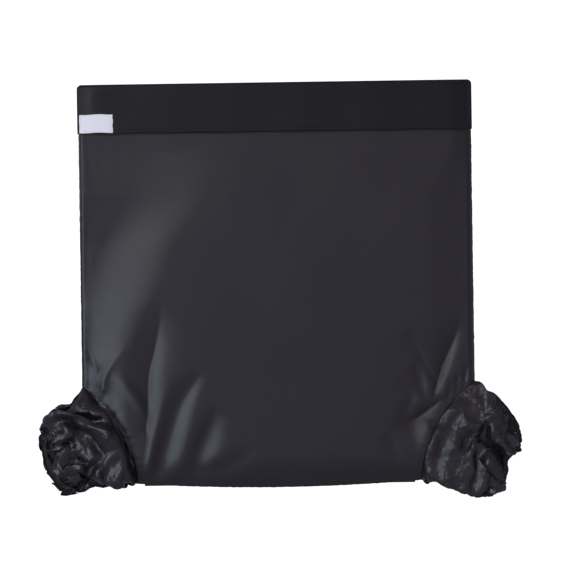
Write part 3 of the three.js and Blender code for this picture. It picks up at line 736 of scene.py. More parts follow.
def flap_cover():
    """One cloth from the end of the bag over the fold to the hemmed free edge."""
    x = spaced(-HALF_WIDTH, HALF_WIDTH, 2.0, 4.5, 60, 30)
    run = spaced(FREE_EDGE + 1.2, TOP - 3.2, 0.9, 2.2, 9, 4)[::-1]
    rows = []
    for dy, z, share in FLAP_FOLD:
        rows.append((np.full_like(x, TOP + dy), z - flap_droop(x) * share))
    for y in run:
        rows.append((np.full_like(x, y), flap_top(x, y)))
    edge = 0.35 * ripples(x, x * 0, 55.0, 33)
    top = flap_top(x, np.full_like(x, FREE_EDGE + 1.2))
    for dy, dz in FLAP_HEM:
        rows.append((FREE_EDGE + dy + edge, top + dz))
    y = np.stack([r[0] for r in rows])
    z = np.stack([r[1] for r in rows])
    short = np.maximum(y - (TOP - CORNER), 0)
    round_off = CORNER - np.sqrt(np.maximum(CORNER ** 2 - np.minimum(short, CORNER) ** 2, 0))
    half = HALF_WIDTH + 0.4 - np.minimum(round_off, CORNER * 0.75)
    xs = x[None, :] / HALF_WIDTH * half
    lengths = np.concatenate([[0], np.cumsum(np.hypot(np.diff(y[:, 0]), np.diff(z[:, 0])))])
    uv = np.stack([xs, np.repeat(lengths[:, None], len(x), axis=1)], -1)
    piece = mesh_piece("flap_cloth", np.stack([xs, y, z], -1), grid_faces(*xs.shape, turned=True),
                       FLAP_CLOTH_PAINTED_SHADE, "coated_cloth", uv)
    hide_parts("flap_cover", "outer_mouth_facing")
    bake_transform(piece)


def flap_lining():
    """The flap's underside."""
    low, high = box_mm("flap_lining")
    x = np.linspace(low[0], high[0], 150)[None, :].repeat(26, axis=0)
    y = np.linspace(low[1] + 4, high[1] - 0.5, 26)[:, None].repeat(150, axis=1)
    z = high[2] - 0.25 + 0.12 * ripples(x, y, 40.0, 35) - flap_droop(x)
    piece = mesh_piece("flap_lining_cloth", np.stack([x, y, z], -1), grid_faces(*x.shape, turned=True),
                       LINING, "lining_cloth", np.stack([x, y], -1))
    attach(piece, "flap")
    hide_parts("flap_lining")


def flap_stitches():
    """The line of stitching along the flap's free edge and up both its ends."""
    parts = []
    x = np.linspace(-HALF_WIDTH + 4, HALF_WIDTH - 4, 400)
    y = np.full_like(x, FREE_EDGE + HEM)
    parts += stitch_row(np.stack([x, y, flap_top(x, y) + 0.08], -1))
    for side in SIDES.values():
        y = np.linspace(FREE_EDGE + 6, TOP - 6, 60)
        x = np.full_like(y, side * (HALF_WIDTH - 3.6))
        if side < 0:
            y = y[y > LABEL_HIGH[1] + 2]
            x = x[:len(y)]
        parts += stitch_row(np.stack([x, y, flap_top(x, y) + 0.08], -1))
    piece = mesh_piece("flap_stitches", *joined(parts), THREAD)
    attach(piece, "flap")


LABEL_SHIFT = np.array([-0.4, -2.0])
LABEL_TUCK = (1.0, 0.5)      # cloth lost to the folds at each end and at each side
LABEL_INSET = 1.8            # from the label's edge to its stitching


def label():
    """The blank woven label, its ends folded under and sewn round its border."""
    columns, rows = 60, 36
    half_w = (LABEL_HIGH[0] - LABEL_LOW[0]) / 2 - LABEL_TUCK[0]
    half_h = (LABEL_HIGH[1] - LABEL_LOW[1]) / 2 - LABEL_TUCK[1]
    cx, cy = (LABEL_LOW[:2] + LABEL_HIGH[:2]) / 2 + LABEL_SHIFT
    u = np.linspace(-1, 1, columns)[None, :].repeat(rows, axis=0)
    v = np.linspace(-1, 1, rows)[:, None].repeat(columns, axis=1)
    x = cx + u * half_w * (1 + 0.006 * np.sin(5 * v)) + 0.25 * np.sin(7 * v) * (u > 0.95)
    y = cy + v * half_h + 0.35 * np.sin(4.0 * u + 1) * np.abs(v) ** 4
    inside = np.minimum((1 - np.abs(u)) * half_w, (1 - np.abs(v)) * half_h)
    puff = 0.45 * smooth(inside / 5) * (0.7 + 0.5 * ripples(x, y, 24.0, 41))
    seam = 0.12 * np.exp(-((inside - LABEL_INSET) / 0.6) ** 2)
    z = flap_top(x, y) + 0.15 + 0.35 * smooth(inside / 0.5) + puff - seam
    piece = mesh_piece("label_cloth", np.stack([x, y, z], -1), grid_faces(rows, columns), LABEL,
                       "label_cloth", np.stack([x, y], -1))
    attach(piece, "flap")
    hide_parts("label")
    corners = [(-1, -1), (1, -1), (1, 1), (-1, 1), (-1, -1)]
    border = []
    for (ax, ay), (bx, by) in zip(corners, corners[1:]):
        t = np.linspace(0, 1, 40)
        px = cx + (ax + (bx - ax) * t) * (half_w - LABEL_INSET)
        py = cy + (ay + (by - ay) * t) * (half_h - LABEL_INSET)
        line = np.stack([px, py, flap_top(px, py) + 0.62], -1)
        border += stitch_row(line, pitch=2.2, gap=0.5, thickness=0.2)
    stitches = mesh_piece("label_stitches", *joined(border), PALE_THREAD)
    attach(stitches, "flap")


# ---------------------------------------------------------------- zips

def toothed_coil(name, cad_node, lean):
    """A zip's coil: rounded turns of nylon side by side along the tape."""
    low, high = box_mm(cad_node)
    pitch = 2.0
    phases = np.array([0.0, 0.25, 0.5, 0.75])
    swell = np.array([0.72, 0.95, 1.0, 0.95])
    count = int((high[0] - low[0]) / pitch)
    x = low[0] + (np.arange(count)[:, None] + phases[None, :]).ravel() * pitch
    radius = (high[1] - low[1]) / 2 * np.tile(swell, count)
    y = (low[1] + high[1]) / 2 + lean * 0.12 * np.sin(2 * np.pi * x / pitch)
    path = np.stack([x, y, np.full_like(x, (low[2] + high[2]) / 2)], -1)
    points, faces = tube(path, radius, sides=8)
    piece = mesh_piece(name, points, faces, COIL, "zip_coil")
    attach(piece, "bag")
    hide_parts(cad_node)


def zip_stitches():
    """Two rows of stitching that hold the outer zip's tapes."""
    parts = []
    x = np.linspace(-TAPE_HIGH[0] + 3, TAPE_HIGH[0] - 3, 300)
    for y in (TAPE_LOW[1] - 1.2, BACK_TAPE_HIGH[1] + 0.6):
        yy = np.full_like(x, y)
        parts += stitch_row(np.stack([x, yy, front_height(x, yy) + 0.1], -1))
    piece = mesh_piece("zip_stitches", *joined(parts), THREAD)
    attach(piece, "bag")


def dress(names, material, bevel=0.0):
    """Gives carried-over CAD nodes their finish, with their sharp edges eased."""
    for name in names:
        cad = frame["nodes"][name]
        cad.data.materials.clear()
        cad.data.materials.append(material)
        if bevel:
            eased = cad.modifiers.new("eased", "BEVEL")
            eased.width = bevel * MM
            eased.segments = 2
            eased.limit_method = "ANGLE"


# ---------------------------------------------------------------- sleeves

AROUND = 104            # points round a sleeve
TURN = 2 * np.pi * np.arange(AROUND) / AROUND     # and the angle of each
SLEEVE_ROWS = 44        # rows of points from the armhole to the cuff's elastic
EASED_ROWS = 16         # rows beside the armhole that are drawn straighter
RUFFLE_ROWS = 4         # rows beyond the elastic
RUFFLE_PITCH = 2.4
RUFFLE_ROOM = 1.06      # how far the cloth is let out before its ruffles are pressed in
RUFFLE_SHOWN = 0.25     # the share of each ruffle that stands beyond the outline
SLEEVE_MIDDLE = np.array([262.0, -205.0])     # of the right sleeve as it lies
SECTORS = 90            # directions from there in which the outline is matched
ELASTIC_WIDTH = 3.5
CLOTH_ROUND = 350.0     # the sleeve's cut width, laid out flat
CLOTH_ROW = 1.8         # cloth length between two rows of the doubled mesh
SPLIT_ROW = 40          # the doubled row where the shoulder piece hands over to the sleeve piece
LINING_GAP = 0.9        # from the sleeve's cloth to its lining
LOWEST_SLEEVE = 0.8     # no cloth of a sleeve sinks below this
LOWEST_LINING = 0.3
DRAWN_OUT = (80.0, 30.0, 34.0)      # the open cuff's half width, half height and height before it is pushed
SOLVER_SCALE = 10.0     # the cloth solver is steadier on an object ten times life size
SOLVER_CEILING = 110.0  # a lid over the sleeve, which comes down as the cuff is pushed
CEILING_FRAMES = (8, 46)
MOVE_FRAMES = 36        # the cuff has been pushed back by then
LAST_FRAME = 56

SLEEVES = {
    "left": {
        "length": 140.0, "reach": 90.0, "pressure": 5.0, "bending": 2.0, "ceiling": 40.0, "seed": 5,
        "ease": (0.35, 0.9), "calm": 14, "pressed": (30.0, 0.8),
        "cuff": {"a": 38.0, "b": 12.0, "z": 20.0, "gathers": 12, "depth": 1.6, "twist": -0.2, "phase": 2.2,
                 "seed": 4, "tip": -6.0, "shift": 3.0},
        "outline": [(262, -124), (271, -128), (272, -139), (279, -146), (286, -155), (303, -159),
                    (316, -171), (326, -189), (328, -207),
                    (327, -225), (320, -242), (311, -262), (298, -278), (278, -275), (256, -266), (232, -267),
                    (206, -269)],
        "folds": [
            # bumps beside the shoulder
            (CRISP, [(-273, -144, 0, 6, 7), (-277, -153, -2.2, 6, 9), (-284, -162, 0, 6, 7)]),
            (CRISP, [(-264, -146, 0, 4, 7), (-261, -156, -2.2, 4, 8), (-257, -165, 0, 4, 6)]),
            # the long fold across the sleeve, a roll above a trough
            (SOFT, [(-315, -174, 0, 5, 6), (-291, -166, -3.0, 7, 7), (-263, -165, -3.4, 7, 7),
                    (-234, -169, -2.0, 7, 6), (-220, -171, 0, 5, 5)]),
            (SOFT, [(-317, -179, 0, 6, 6), (-291, -176, 3.6, 8, 7), (-264, -177, 4.2, 8, 7),
                    (-242, -178, 3.0, 7, 6), (-223, -175, 0, 5, 5)]),
            # the crest that bends round the pushed-in middle
            (CRISP, [(-270, -171, 0, 5, 5), (-265, -179, -3.0, 5, 8), (-249, -187, -3.8, 5, 10),
                     (-232, -191, -3.0, 5, 9), (-225, -195, 0, 5, 6)]),
            (CRISP, [(-232, -191, 0, 4, 6), (-233, -199, -2.8, 4, 8), (-238, -209, 0, 4, 6)]),
            (CRISP, [(-228, -211, 0, 4, 5), (-242, -222, -3.4, 5, 8), (-257, -228, -3.2, 5, 8),
                     (-274, -236, 0, 5, 6)]),
            (CRISP, [(-229, -214, 0, 4, 5), (-238, -233, -3.2, 5, 8), (-247, -251, -3.2, 5, 8),
                     (-253, -264, 0, 5, 6)]),
            (SOFT, [(-259, -215, 0, 9, 9), (-272, -220, 5.0, 12, 12), (-281, -228, 5.5, 12, 12),
                    (-283, -240, 0, 9, 9)]),
            # facets on the outer side
            (CRISP, [(-304, -184, 0, 5, 5), (-293, -183, -2.6, 5, 7), (-282, -195, -2.6, 5, 7),
                     (-276, -207, 0, 5, 6)]),
            (CRISP, [(-295, -189, 0, 5, 5), (-306, -196, -2.2, 5, 6), (-319, -202, 0, 5, 5)]),
            (SOFT, [(-209, -219, 0, 6, 6), (-221, -237, 2.6, 8, 8), (-232, -252, 2.2, 8, 8),
                    (-236, -263, 0, 6, 6)]),
        ],
    },
    "right": {
        "length": 118.0, "reach": 99.0, "pressure": 6.0, "bending": 2.0, "ceiling": 38.0, "seed": 14,
        "ease": (0.7, 0.9), "calm": 20, "pressed": (11.0, 0.42),
        "cuff": {"a": 43.0, "b": 13.0, "z": 18.0, "gathers": 12, "depth": 2.6, "twist": 0.2, "phase": 0.4,
                 "seed": 6, "tip": 0.0, "shift": 0.0},
        "outline": [(264, -122), (271, -127), (284, -144), (304, -160), (318, -177), (327, -194),
                    (331, -208), (330, -224), (312, -239), (310, -257), (308, -279), (281, -289),
                    (256, -285), (234, -277), (212, -266)],
        "folds": [
            # short sharp crests on the upper part
            (CRISP, [(286, -140, 0, 5, 6), (286, -151, -2.4, 4, 9), (285, -164, -2.2, 4, 9),
                     (284, -177, 0, 4, 7)]),
            (CRISP, [(313, -167, 0, 4, 6), (294, -176, -1.5, 4, 7), (276, -183, -1.2, 4, 7),
                     (263, -186, 0, 4, 6)]),
            # the deep crease from the armhole down to the cuff
            (SOFT, [(228, -176, 0, 7, 8), (239, -192, 3.4, 10, 9), (257, -207, 5.2, 13, 10),
                    (275, -217, 6.4, 15, 11), (294, -226, 6.0, 14, 10), (306, -234, 3.4, 9, 9),
                    (312, -239, 0, 6, 8)]),
            # small facets below it
            (SOFT, [(234, -213, 0, 5, 5), (243, -221, -1.6, 5, 5), (252, -221, 0, 5, 5)]),
            (SOFT, [(258, -215, 0, 5, 5), (262, -224, -1.8, 5, 5), (265, -235, 0, 5, 5)]),
            (CRISP, [(248, -253, 0, 4, 5), (234, -261, -2.2, 4, 7), (220, -269, 0, 4, 6)]),
            (CRISP, [(220, -222, 0, 5, 5), (227, -236, 2.0, 5, 5), (235, -250, 0, 5, 5)]),
            (SOFT, [(272, -250, 0, 4, 4), (273, -258, -1.4, 4, 4), (276, -266, 0, 4, 4)]),
            (SOFT, [(294, -186, 0, 6, 6), (292, -197, -1.8, 6, 6), (297, -208, 0, 6, 6)]),
        ],
    },
}


def off_seam(rows, span):
    """0 on the armhole's row and 1 from that many rows away, one value for each row."""
    return smooth(np.arange(len(rows)) / span)[:, None]


def fuller(value, power):
    """A sine raised to a power with its sign kept; below 1 it makes an oval fuller."""
    return np.sign(value) * np.abs(value) ** power


def armhole_ring(side):
    """The seam round an armhole, on the bag's right-hand side: from the side seam over the top.

    With side 0 it is the plain, evenly filled armhole that the cloth is solved from.
    """
    x, y = armhole_points(ARC_STOP + (ARC_START - ARC_STOP) * (np.cos(TURN) + 1) / 2)
    if side == 0:
        top = EDGE_HEIGHT + 15.0 * rise(np.minimum(HALF_WIDTH - x, y - BOTTOM), 34.0, 2.0)
    else:
        top = front_height(side * x, y) - 0.5
        y = bowed(x, y)
    low = 0.6
    z = (top + low) / 2 + (top - low) / 2 * fuller(np.sin(TURN), 0.6)
    return np.stack([x, y, z], -1)


def sleeve_ring(reach, a, b, z, gathers=0, depth=0.0, twist=0.0, phase=0.0, seed=0, tip=0.0, shift=0.0):
    """An oval round the sleeve, at that reach from the armhole's middle, gathered if asked."""
    loose = np.random.RandomState(seed).uniform(-1, 1, 2)
    wave = np.sin(gathers * TURN + phase) * (1 + 0.35 * np.sin(2 * TURN + 3 * loose[1]))
    wave = depth * (wave + 0.35 * np.sin((gathers // 2 + 1) * TURN + loose[0]))
    across, lift = np.cos(TURN + twist), fuller(np.sin(TURN + twist), 0.9)
    flat = (ARMHOLE_MIDDLE + np.outer(reach + tip * lift, SLEEVE_DIRECTION)
            + np.outer((a + wave) * across + shift, SLEEVE_ACROSS))
    height = np.maximum(z + (b + 0.8 * wave) * lift, LOWEST_SLEEVE)
    return np.column_stack([flat, height])


def solver_plane(name, height_mm, turned=False):
    """A wide plane that cloth can't pass, in solver units."""
    mesh = bpy.data.meshes.new(name)
    quad = (3, 2, 1, 0) if turned else (0, 1, 2, 3)
    mesh.from_pydata([(-6, -6, 0), (6, -6, 0), (6, 6, 0), (-6, 6, 0)], [], [quad])
    plane = bpy.data.objects.new(name, mesh)
    plane.location.z = height_mm * MM * SOLVER_SCALE
    bpy.context.scene.collection.objects.link(plane)
    plane.modifiers.new("collision", "COLLISION")
    plane.collision.thickness_outer = 0.004
    plane.collision.cloth_friction = 8
    return plane


def slack_sleeve(style):
    """The sleeve pulled out straight, the same rows with the cuff pushed back, and which rows are held."""
    hole = armhole_ring(0)
    far = sleeve_ring(style["length"], *DRAWN_OUT)
    straight, lying, held = [], [], []
    for row in range(SLEEVE_ROWS):
        t = row / SLEEVE_ROWS
        ring = hole * (1 - t) + far * t
        ring[:, 2] += 6.0 * math.sin(math.pi * t) ** 0.8 * (ring[:, 2] > 8)
        straight.append(ring)
        lying.append(ring)
        held.append(row == 0)
    for row in range(2):
        straight.append(sleeve_ring(style["length"] + ELASTIC_WIDTH * row, *DRAWN_OUT))
        lying.append(sleeve_ring(style["reach"] + ELASTIC_WIDTH * row, **style["cuff"]))
        held.append(True)
    for row in range(1, RUFFLE_ROWS + 1):
        ring = sleeve_ring(style["length"] + ELASTIC_WIDTH + RUFFLE_PITCH * row, *DRAWN_OUT)
        straight.append(ring)
        lying.append(ring)
        held.append(False)
    return np.stack(straight), np.stack(lying), np.array(held)


def coated_fabric(cloth, style):
    """Sets the cloth solver for thin coated cloth with some air inside the sleeve."""
    settings = cloth.settings
    settings.quality = 6
    settings.mass = 0.12
    settings.tension_stiffness = 25
    settings.compression_stiffness = 25
    settings.shear_stiffness = 12
    settings.bending_stiffness = style["bending"]
    settings.tension_damping = 8
    settings.compression_damping = 8
    settings.shear_damping = 8
    settings.bending_damping = 1.0
    settings.air_damping = 3.0
    settings.vertex_group_mass = "held"
    settings.pin_stiffness = 1.0
    settings.use_pressure = True
    settings.uniform_pressure_force = style["pressure"]
    contact = cloth.collision_settings
    contact.distance_min = 0.006
    contact.use_self_collision = True
    contact.self_distance_min = 0.011
    contact.self_friction = 4
    contact.collision_quality = 3
    cloth.point_cache.frame_end = LAST_FRAME


def settled_sleeve(style):
    """Lets the sleeve's cloth crumple while its cuff is pushed back towards the bag and laid flat."""
    straight, lying, held = slack_sleeve(style)
    scene = bpy.context.scene
    scale = MM * SOLVER_SCALE
    jitter = np.random.RandomState(style["seed"]).normal(0, 0.5, straight.shape)
    straight = straight + jitter * ~held[:, None, None]
    straight[..., 2] = np.maximum(straight[..., 2], LOWEST_SLEEVE)
    floor = solver_plane("solver_floor", 0.0)
    ceiling = solver_plane("solver_ceiling", SOLVER_CEILING, turned=True)
    ceiling.keyframe_insert("location", frame=CEILING_FRAMES[0])
    ceiling.location.z = style["ceiling"] * scale
    ceiling.keyframe_insert("location", frame=CEILING_FRAMES[1])
    mesh = bpy.data.meshes.new("solver_sleeve")
    mesh.from_pydata((straight.reshape(-1, 3) * scale).tolist(), [],
                     grid_faces(len(straight), AROUND, closed=True))
    sleeve = bpy.data.objects.new("solver_sleeve", mesh)
    scene.collection.objects.link(sleeve)
    sleeve.shape_key_add(name="Basis")
    key = sleeve.shape_key_add(name="lying")
    key.data.foreach_set("co", (lying.reshape(-1, 3) * scale).astype(np.float32).ravel())
    for frame_number, value in ((1, 0.0), (MOVE_FRAMES, 1.0)):
        key.value = value
        key.keyframe_insert("value", frame=frame_number)
    group = sleeve.vertex_groups.new(name="held")
    group.add(np.nonzero(np.repeat(held, AROUND))[0].tolist(), 1.0, "REPLACE")
    coated_fabric(sleeve.modifiers.new("cloth", "CLOTH"), style)
    for frame_number in range(1, LAST_FRAME + 1):
        scene.frame_set(frame_number)
    shown = sleeve.evaluated_get(bpy.context.evaluated_depsgraph_get())
    settled = bpy.data.meshes.new_from_object(shown)
    points = np.zeros(len(settled.vertices) * 3, np.float32)
    settled.vertices.foreach_get("co", points)
    for helper in (sleeve, floor, ceiling):
        bpy.data.objects.remove(helper)
    scene.frame_set(1)
    return points.reshape(straight.shape).astype(float) / scale


def neighbours(values):
    """The eight neighbours of each point of a tube's rows, one array each."""
    padded = np.concatenate([values[:1], values, values[-1:]])
    for down in (0, 1, 2):
        row = padded[down:down + len(values)]
        for turn in (-1, 0, 1):
            if down != 1 or turn != 0:
                yield np.roll(row, turn, axis=1)


def creased(rows, passes, spread=0.30, step=0.5):
    """Flattens the cloth between its creases and leaves the creases themselves crisp."""
    for _ in range(passes):
        normals = row_normals(rows)
        for _ in range(2):
            total = normals.copy()
            for near in neighbours(normals):
                alike = np.exp(-((1 - (normals * near).sum(-1)) / spread) ** 2)
                total += near * alike[..., None]
            normals = total / (np.linalg.norm(total, axis=2)[..., None] + 1e-9)
        shift = np.zeros_like(rows)
        for near, facing in zip(neighbours(rows), neighbours(normals)):
            shift += facing * (facing * (near - rows)).sum(-1)[..., None]
        shift[:1] = 0
        rows = rows + step * shift / 8
    return rows


def eased_shoulder(rows, seam, general, at_side_seam):
    """Sews the first row to the seam and draws the cloth beside it straighter, most at the side seam."""
    rows = rows + (seam - rows[0]) * (1 - off_seam(rows, 12.0)[..., None])
    share = general + (at_side_seam - general) * smooth((np.cos(TURN) - 0.45) / 0.4)
    t = (np.arange(EASED_ROWS) / EASED_ROWS)[:, None, None]
    straight = rows[:1] * (1 - t) + rows[EASED_ROWS:EASED_ROWS + 1] * t
    rows[:EASED_ROWS] += (straight - rows[:EASED_ROWS]) * share[None, :, None]
    return rows


def outline_reach(outline, angles):
    """How far an outline of (x, y) lies from the sleeve's middle in each direction, 0 where it has none."""
    flat = np.array(outline, float) - SLEEVE_MIDDLE
    heading = np.arctan2(flat[:, 1], flat[:, 0])
    order = np.argsort(heading)
    return np.interp(angles, heading[order], np.hypot(*flat[order].T), left=0.0, right=0.0)


def fitted(rows, outline):
    """Eases the crumpled sleeve out or in to the outline it lies in, leaving its seam where it is."""
    flat = rows[..., :2] - SLEEVE_MIDDLE
    angle, radius = np.arctan2(flat[..., 1], flat[..., 0]), np.hypot(flat[..., 0], flat[..., 1])
    sector = ((angle + math.pi) / (2 * math.pi) * SECTORS).astype(int) % SECTORS
    reach = np.array([radius[sector == k].max(initial=1.0) for k in range(SECTORS)])
    reach = (np.roll(reach, 1) + 2 * reach + np.roll(reach, -1)) / 4
    middles = (np.arange(SECTORS) + 0.5) / SECTORS * 2 * math.pi - math.pi
    wanted = outline_reach(outline, middles)
    growth = np.where(wanted > 0, wanted / reach, 1.0)
    growth = (np.roll(growth, 1) + 2 * growth + np.roll(growth, -1)) / 4
    local_growth = np.interp(angle, middles, growth, period=2 * math.pi)
    local_reach = np.interp(angle, middles, reach, period=2 * math.pi)
    change = 1 + (local_growth * RUFFLE_ROOM - 1) * smooth(radius / local_reach) * off_seam(rows, 7.0)
    limit = outline_reach(outline, angle)
    beyond = np.maximum(radius * change - limit, 0) * (limit > 0)
    change -= (1 - RUFFLE_SHOWN) * beyond / np.maximum(radius, 1.0)
    shaped = rows.copy()
    shaped[..., :2] = SLEEVE_MIDDLE + flat * change[..., None]
    return shaped


def flattened(rows, level, share):
    """Presses down whatever stands above a level, as a hand smooths the cloth."""
    rows = rows.copy()
    above = np.maximum(rows[..., 2] - level, 0)
    rows[..., 2] -= above * (1 - share) * off_seam(rows, 10.0)
    return rows


def creased_over(rows, side, folds):
    """Lays the sleeve's main creases and its fine crinkle over the upper side of the cloth."""
    rows = rows.copy()
    up = smooth(row_normals(rows)[..., 2] * 1.6)
    x, y = side * rows[..., 0], rows[..., 1]
    lift = sum(fold_height(x, y, fold) for fold in folds)
    crumple = 2.4 * facets(x, y, 19.0, 51) + 0.9 * facets(x, y, 9.0, 61)
    rows[..., 2] += up * off_seam(rows, 8.0) * (lift + crumple)
    return rows


def cubic_between(before, a, b, after):
    """Halfway between a and b on the smooth curve through all four."""
    return (-before + 9 * a + 9 * b - after) / 16


def doubled(points):
    """Twice the rows and twice the points round each, on smooth curves through the first ones."""
    nexts = [np.roll(points, -k, axis=1) for k in (-1, 0, 1, 2)]
    around = np.stack([points, cubic_between(*nexts)], axis=2).reshape(len(points), -1, 3)
    padded = np.concatenate([2 * around[:1] - around[1:2], around, 2 * around[-1:] - around[-2:-1]])
    middles = cubic_between(padded[:-3], padded[1:-2], padded[2:-1], padded[3:])
    rows = np.empty((2 * len(around) - 1, *around.shape[1:]))
    rows[0::2] = around
    rows[1::2] = middles
    rows[..., 2] = np.maximum(rows[..., 2], LOWEST_LINING)
    return rows


def row_normals(points):
    """Outward normals of a tube's rows of points."""
    along = np.gradient(points, axis=0)
    around = np.roll(points, -1, axis=1) - np.roll(points, 1, axis=1)
    normals = np.cross(around, along)
    return normals / (np.linalg.norm(normals, axis=2)[:, :, None] + 1e-9)


def rows_piece(name, rows, normals, first, last, material, slot, turned):
    """Part of a tube as its own piece, shaded with the whole tube's normals."""
    part = rows[first:last + 1]
    count = part.shape[1]
    faces = grid_faces(len(part), count, closed=True, turned=turned)
    piece = mesh_piece(name, part, faces, material, slot)
    mesh = piece.data
    loops = np.zeros(len(mesh.loops), np.int32)
    mesh.loops.foreach_get("vertex_index", loops)
    row, column = np.divmod(loops, count)
    starts = np.zeros(len(mesh.polygons), np.int32)
    mesh.polygons.foreach_get("loop_start", starts)
    # A face that closes the ring runs on past the last column instead of jumping back to the first.
    wraps = (column.reshape(-1, 4).max(1) - column.reshape(-1, 4).min(1)) > 1
    column = column.reshape(-1, 4) + (wraps[:, None] & (column.reshape(-1, 4) == 0)) * count
    uv = np.stack([column.ravel() * CLOTH_ROUND / count, (row + first) * CLOTH_ROW], -1) * MM
    layer = mesh.uv_layers.new(name="cloth")
    layer.data.foreach_set("uv", uv.astype(np.float32).ravel())
    mesh.normals_split_custom_set_from_vertices(normals[first:last + 1].reshape(-1, 3).tolist())
    return piece


def sleeve_sheet(name, layer, part, stands_for):
    """One piece of a sleeve's cloth, made from some of its rows."""
    rows, normals, material, slot, turned = layer
    piece = rows_piece(name, rows, normals, *part, material, slot, turned)
    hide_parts(*stands_for)
    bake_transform(piece)


def sleeve(name, side):
    """One sleeve: its shoulder, the part beyond, their linings, and the gathered cuff."""
    style = SLEEVES[name]
    rows = settled_sleeve(style)
    rows = eased_shoulder(rows, armhole_ring(side), *style["ease"])
    rows = flattened(fitted(rows, style["outline"]), *style["pressed"])
    rows = creased_over(doubled(creased(rows, style["calm"])), side, style["folds"])
    rows[..., 2] = np.maximum(rows[..., 2], LOWEST_SLEEVE)
    rows[..., 0] *= side
    normals = row_normals(rows) * side
    inner = rows - normals * LINING_GAP
    inner[..., 2] = np.maximum(inner[..., 2], LOWEST_LINING)
    outside = (rows, normals, SLEEVE_CLOTH_PAINTED_LIGHT, "coated_cloth", side < 0)
    inside = (inner, -normals, LINING, "lining_cloth", side > 0)

    def at(distance):
        flat = ARMHOLE_MIDDLE + SLEEVE_DIRECTION * distance
        return (side * flat[0] * MM, flat[1] * MM, 0.0)

    near, far, last = (0, SPLIT_ROW), (SPLIT_ROW, len(rows) - 1), (SPLIT_ROW, len(rows) - 3)
    trims = cuff_trim(name, side, rows, normals)
    sleeve_sheet(f"{name}_shoulder_cloth", outside, near, [f"{name}_sleeve_shoulder"])
    sleeve_sheet(f"{name}_sleeve_cloth", outside, far, [f"{name}_sleeve", f"{name}_cuff_hem"])
    sleeve_sheet(f"{name}_shoulder_lining_cloth", inside, near, [f"{name}_shoulder_lining"])
    sleeve_sheet(f"{name}_sleeve_lining_cloth", inside, last, [f"{name}_sleeve_lining"])
    armhole_binding(name, side)


def calmed(ring, span):
    """A ring with its gathers evened out over that many points."""
    window = np.ones(span) / span
    wide = np.concatenate([ring[-span:], ring, ring[:span]])
    return np.stack([np.convolve(wide[:, k], window, "same")[span:-span] for k in range(3)], -1)


def cuff_trim(name, side, rows, normals):
    """The stitched channel, the rolled hem at the mouth and the elastic inside it."""
    first = 2 * SLEEVE_ROWS
    parts = []
    for row in (first, first + 2):
        ring = (rows + normals * 0.12)[row]
        parts += stitch_row(np.concatenate([ring, ring[:1]]), pitch=2.6, gap=0.6, lift=0.1, thickness=0.22)
    parts.append(tube(rows[-1], 0.55, sides=6, closed=True))
    trim = mesh_piece(f"{name}_cuff_stitches", *joined(parts), THREAD)
    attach(trim, f"{name}_cuff")
    band = []
    for row in range(first - 1, first + 4):
        calm = calmed(rows[row], 9)
        centre = calm.mean(0)
        inward = calm - centre
        lengths = np.linalg.norm(inward, axis=1)[:, None]
        band.append(centre + inward * np.maximum(1 - 3.4 / lengths, 0.2))
    faces = grid_faces(len(band), AROUND * 2, closed=True, turned=side > 0)
    elastic = mesh_piece(f"{name}_cuff_elastic_band", np.stack(band), faces, ELASTIC, "elastic_webbing")
    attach(elastic, f"{name}_cuff")
    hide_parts(f"{name}_cuff_elastic")
    return [trim, elastic]


def armhole_binding(name, side):
    """The tape bound over the seam allowance, inside the bag all round the armhole."""
    ring = armhole_ring(side)
    top = front_height(side * ring[:, 0], ring[:, 1])
    share = np.clip((ring[:, 2] - 0.6) / np.maximum(top - 1.1, 0.5), 0, 1)
    inland = ring[:, :2] - ARC_CENTRE
    inland /= np.linalg.norm(inland, axis=1)[:, None]
    rows = []
    for distance in (0.6, 3.0, 5.5, 8.0):
        flat = ring[:, :2] + inland * distance
        ceiling = front_height(side * flat[:, 0], flat[:, 1]) - 1.3
        z = 1.4 + (np.maximum(ceiling, 1.5) - 1.4) * share
        rows.append(np.column_stack([side * flat[:, 0], flat[:, 1], z]))
    faces = grid_faces(len(rows), AROUND, closed=True)
    tape = mesh_piece(f"{name}_armhole_tape", np.stack(rows), faces, BINDING, "binding")
    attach(tape, "bag")
    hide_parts(f"{name}_armhole_binding")


# ---------------------------------------------------------------- the stage

# name: (place, what it faces, size, watts, colour), in metres
LIGHTS = {
    "softbox_left": ((-1.85, -0.20, 1.85), (-0.10, -0.08, 0.0), (1.05, 0.75), 16.5, (0.72, 0.90, 1.06)),
    "lamp_upper_left": ((-1.8, 1.4, 3.0), (0.1, -0.1, 0.0), (1.5, 1.5), 30.0, (1.0, 0.95, 0.98)),
    "strip_right": ((1.05, 0.0, 2.9), (0.20, 0.0, 0.0), (0.35, 1.6), 0.9, (1.0, 0.97, 1.0)),
}
ROOM_COLOUR = (0.885, 0.825, 1.0, 1)
ROOM_STRENGTH = (0.25, 0.572)    # at the floor's level and overhead
FLOOR_STRENGTH = (0.12, 1.0)     # as it lights the bag and as it is seen
FLOOR_HALF = 6000.0
FLOOR_LEVEL = -0.2


def area_light(name, place, target, size, energy, colour):
    """A soft rectangular lamp turned to face its target."""
    lamp = bpy.data.lights.new(name, "AREA")
    lamp.shape = "RECTANGLE"
    lamp.size, lamp.size_y = size
    lamp.energy = energy
    lamp.color = colour
    holder = bpy.data.objects.new(name, lamp)
    holder.location = place
    holder.rotation_euler = (Vector(target) - Vector(place)).to_track_quat("-Z", "Y").to_euler()
    bpy.context.scene.collection.objects.link(holder)


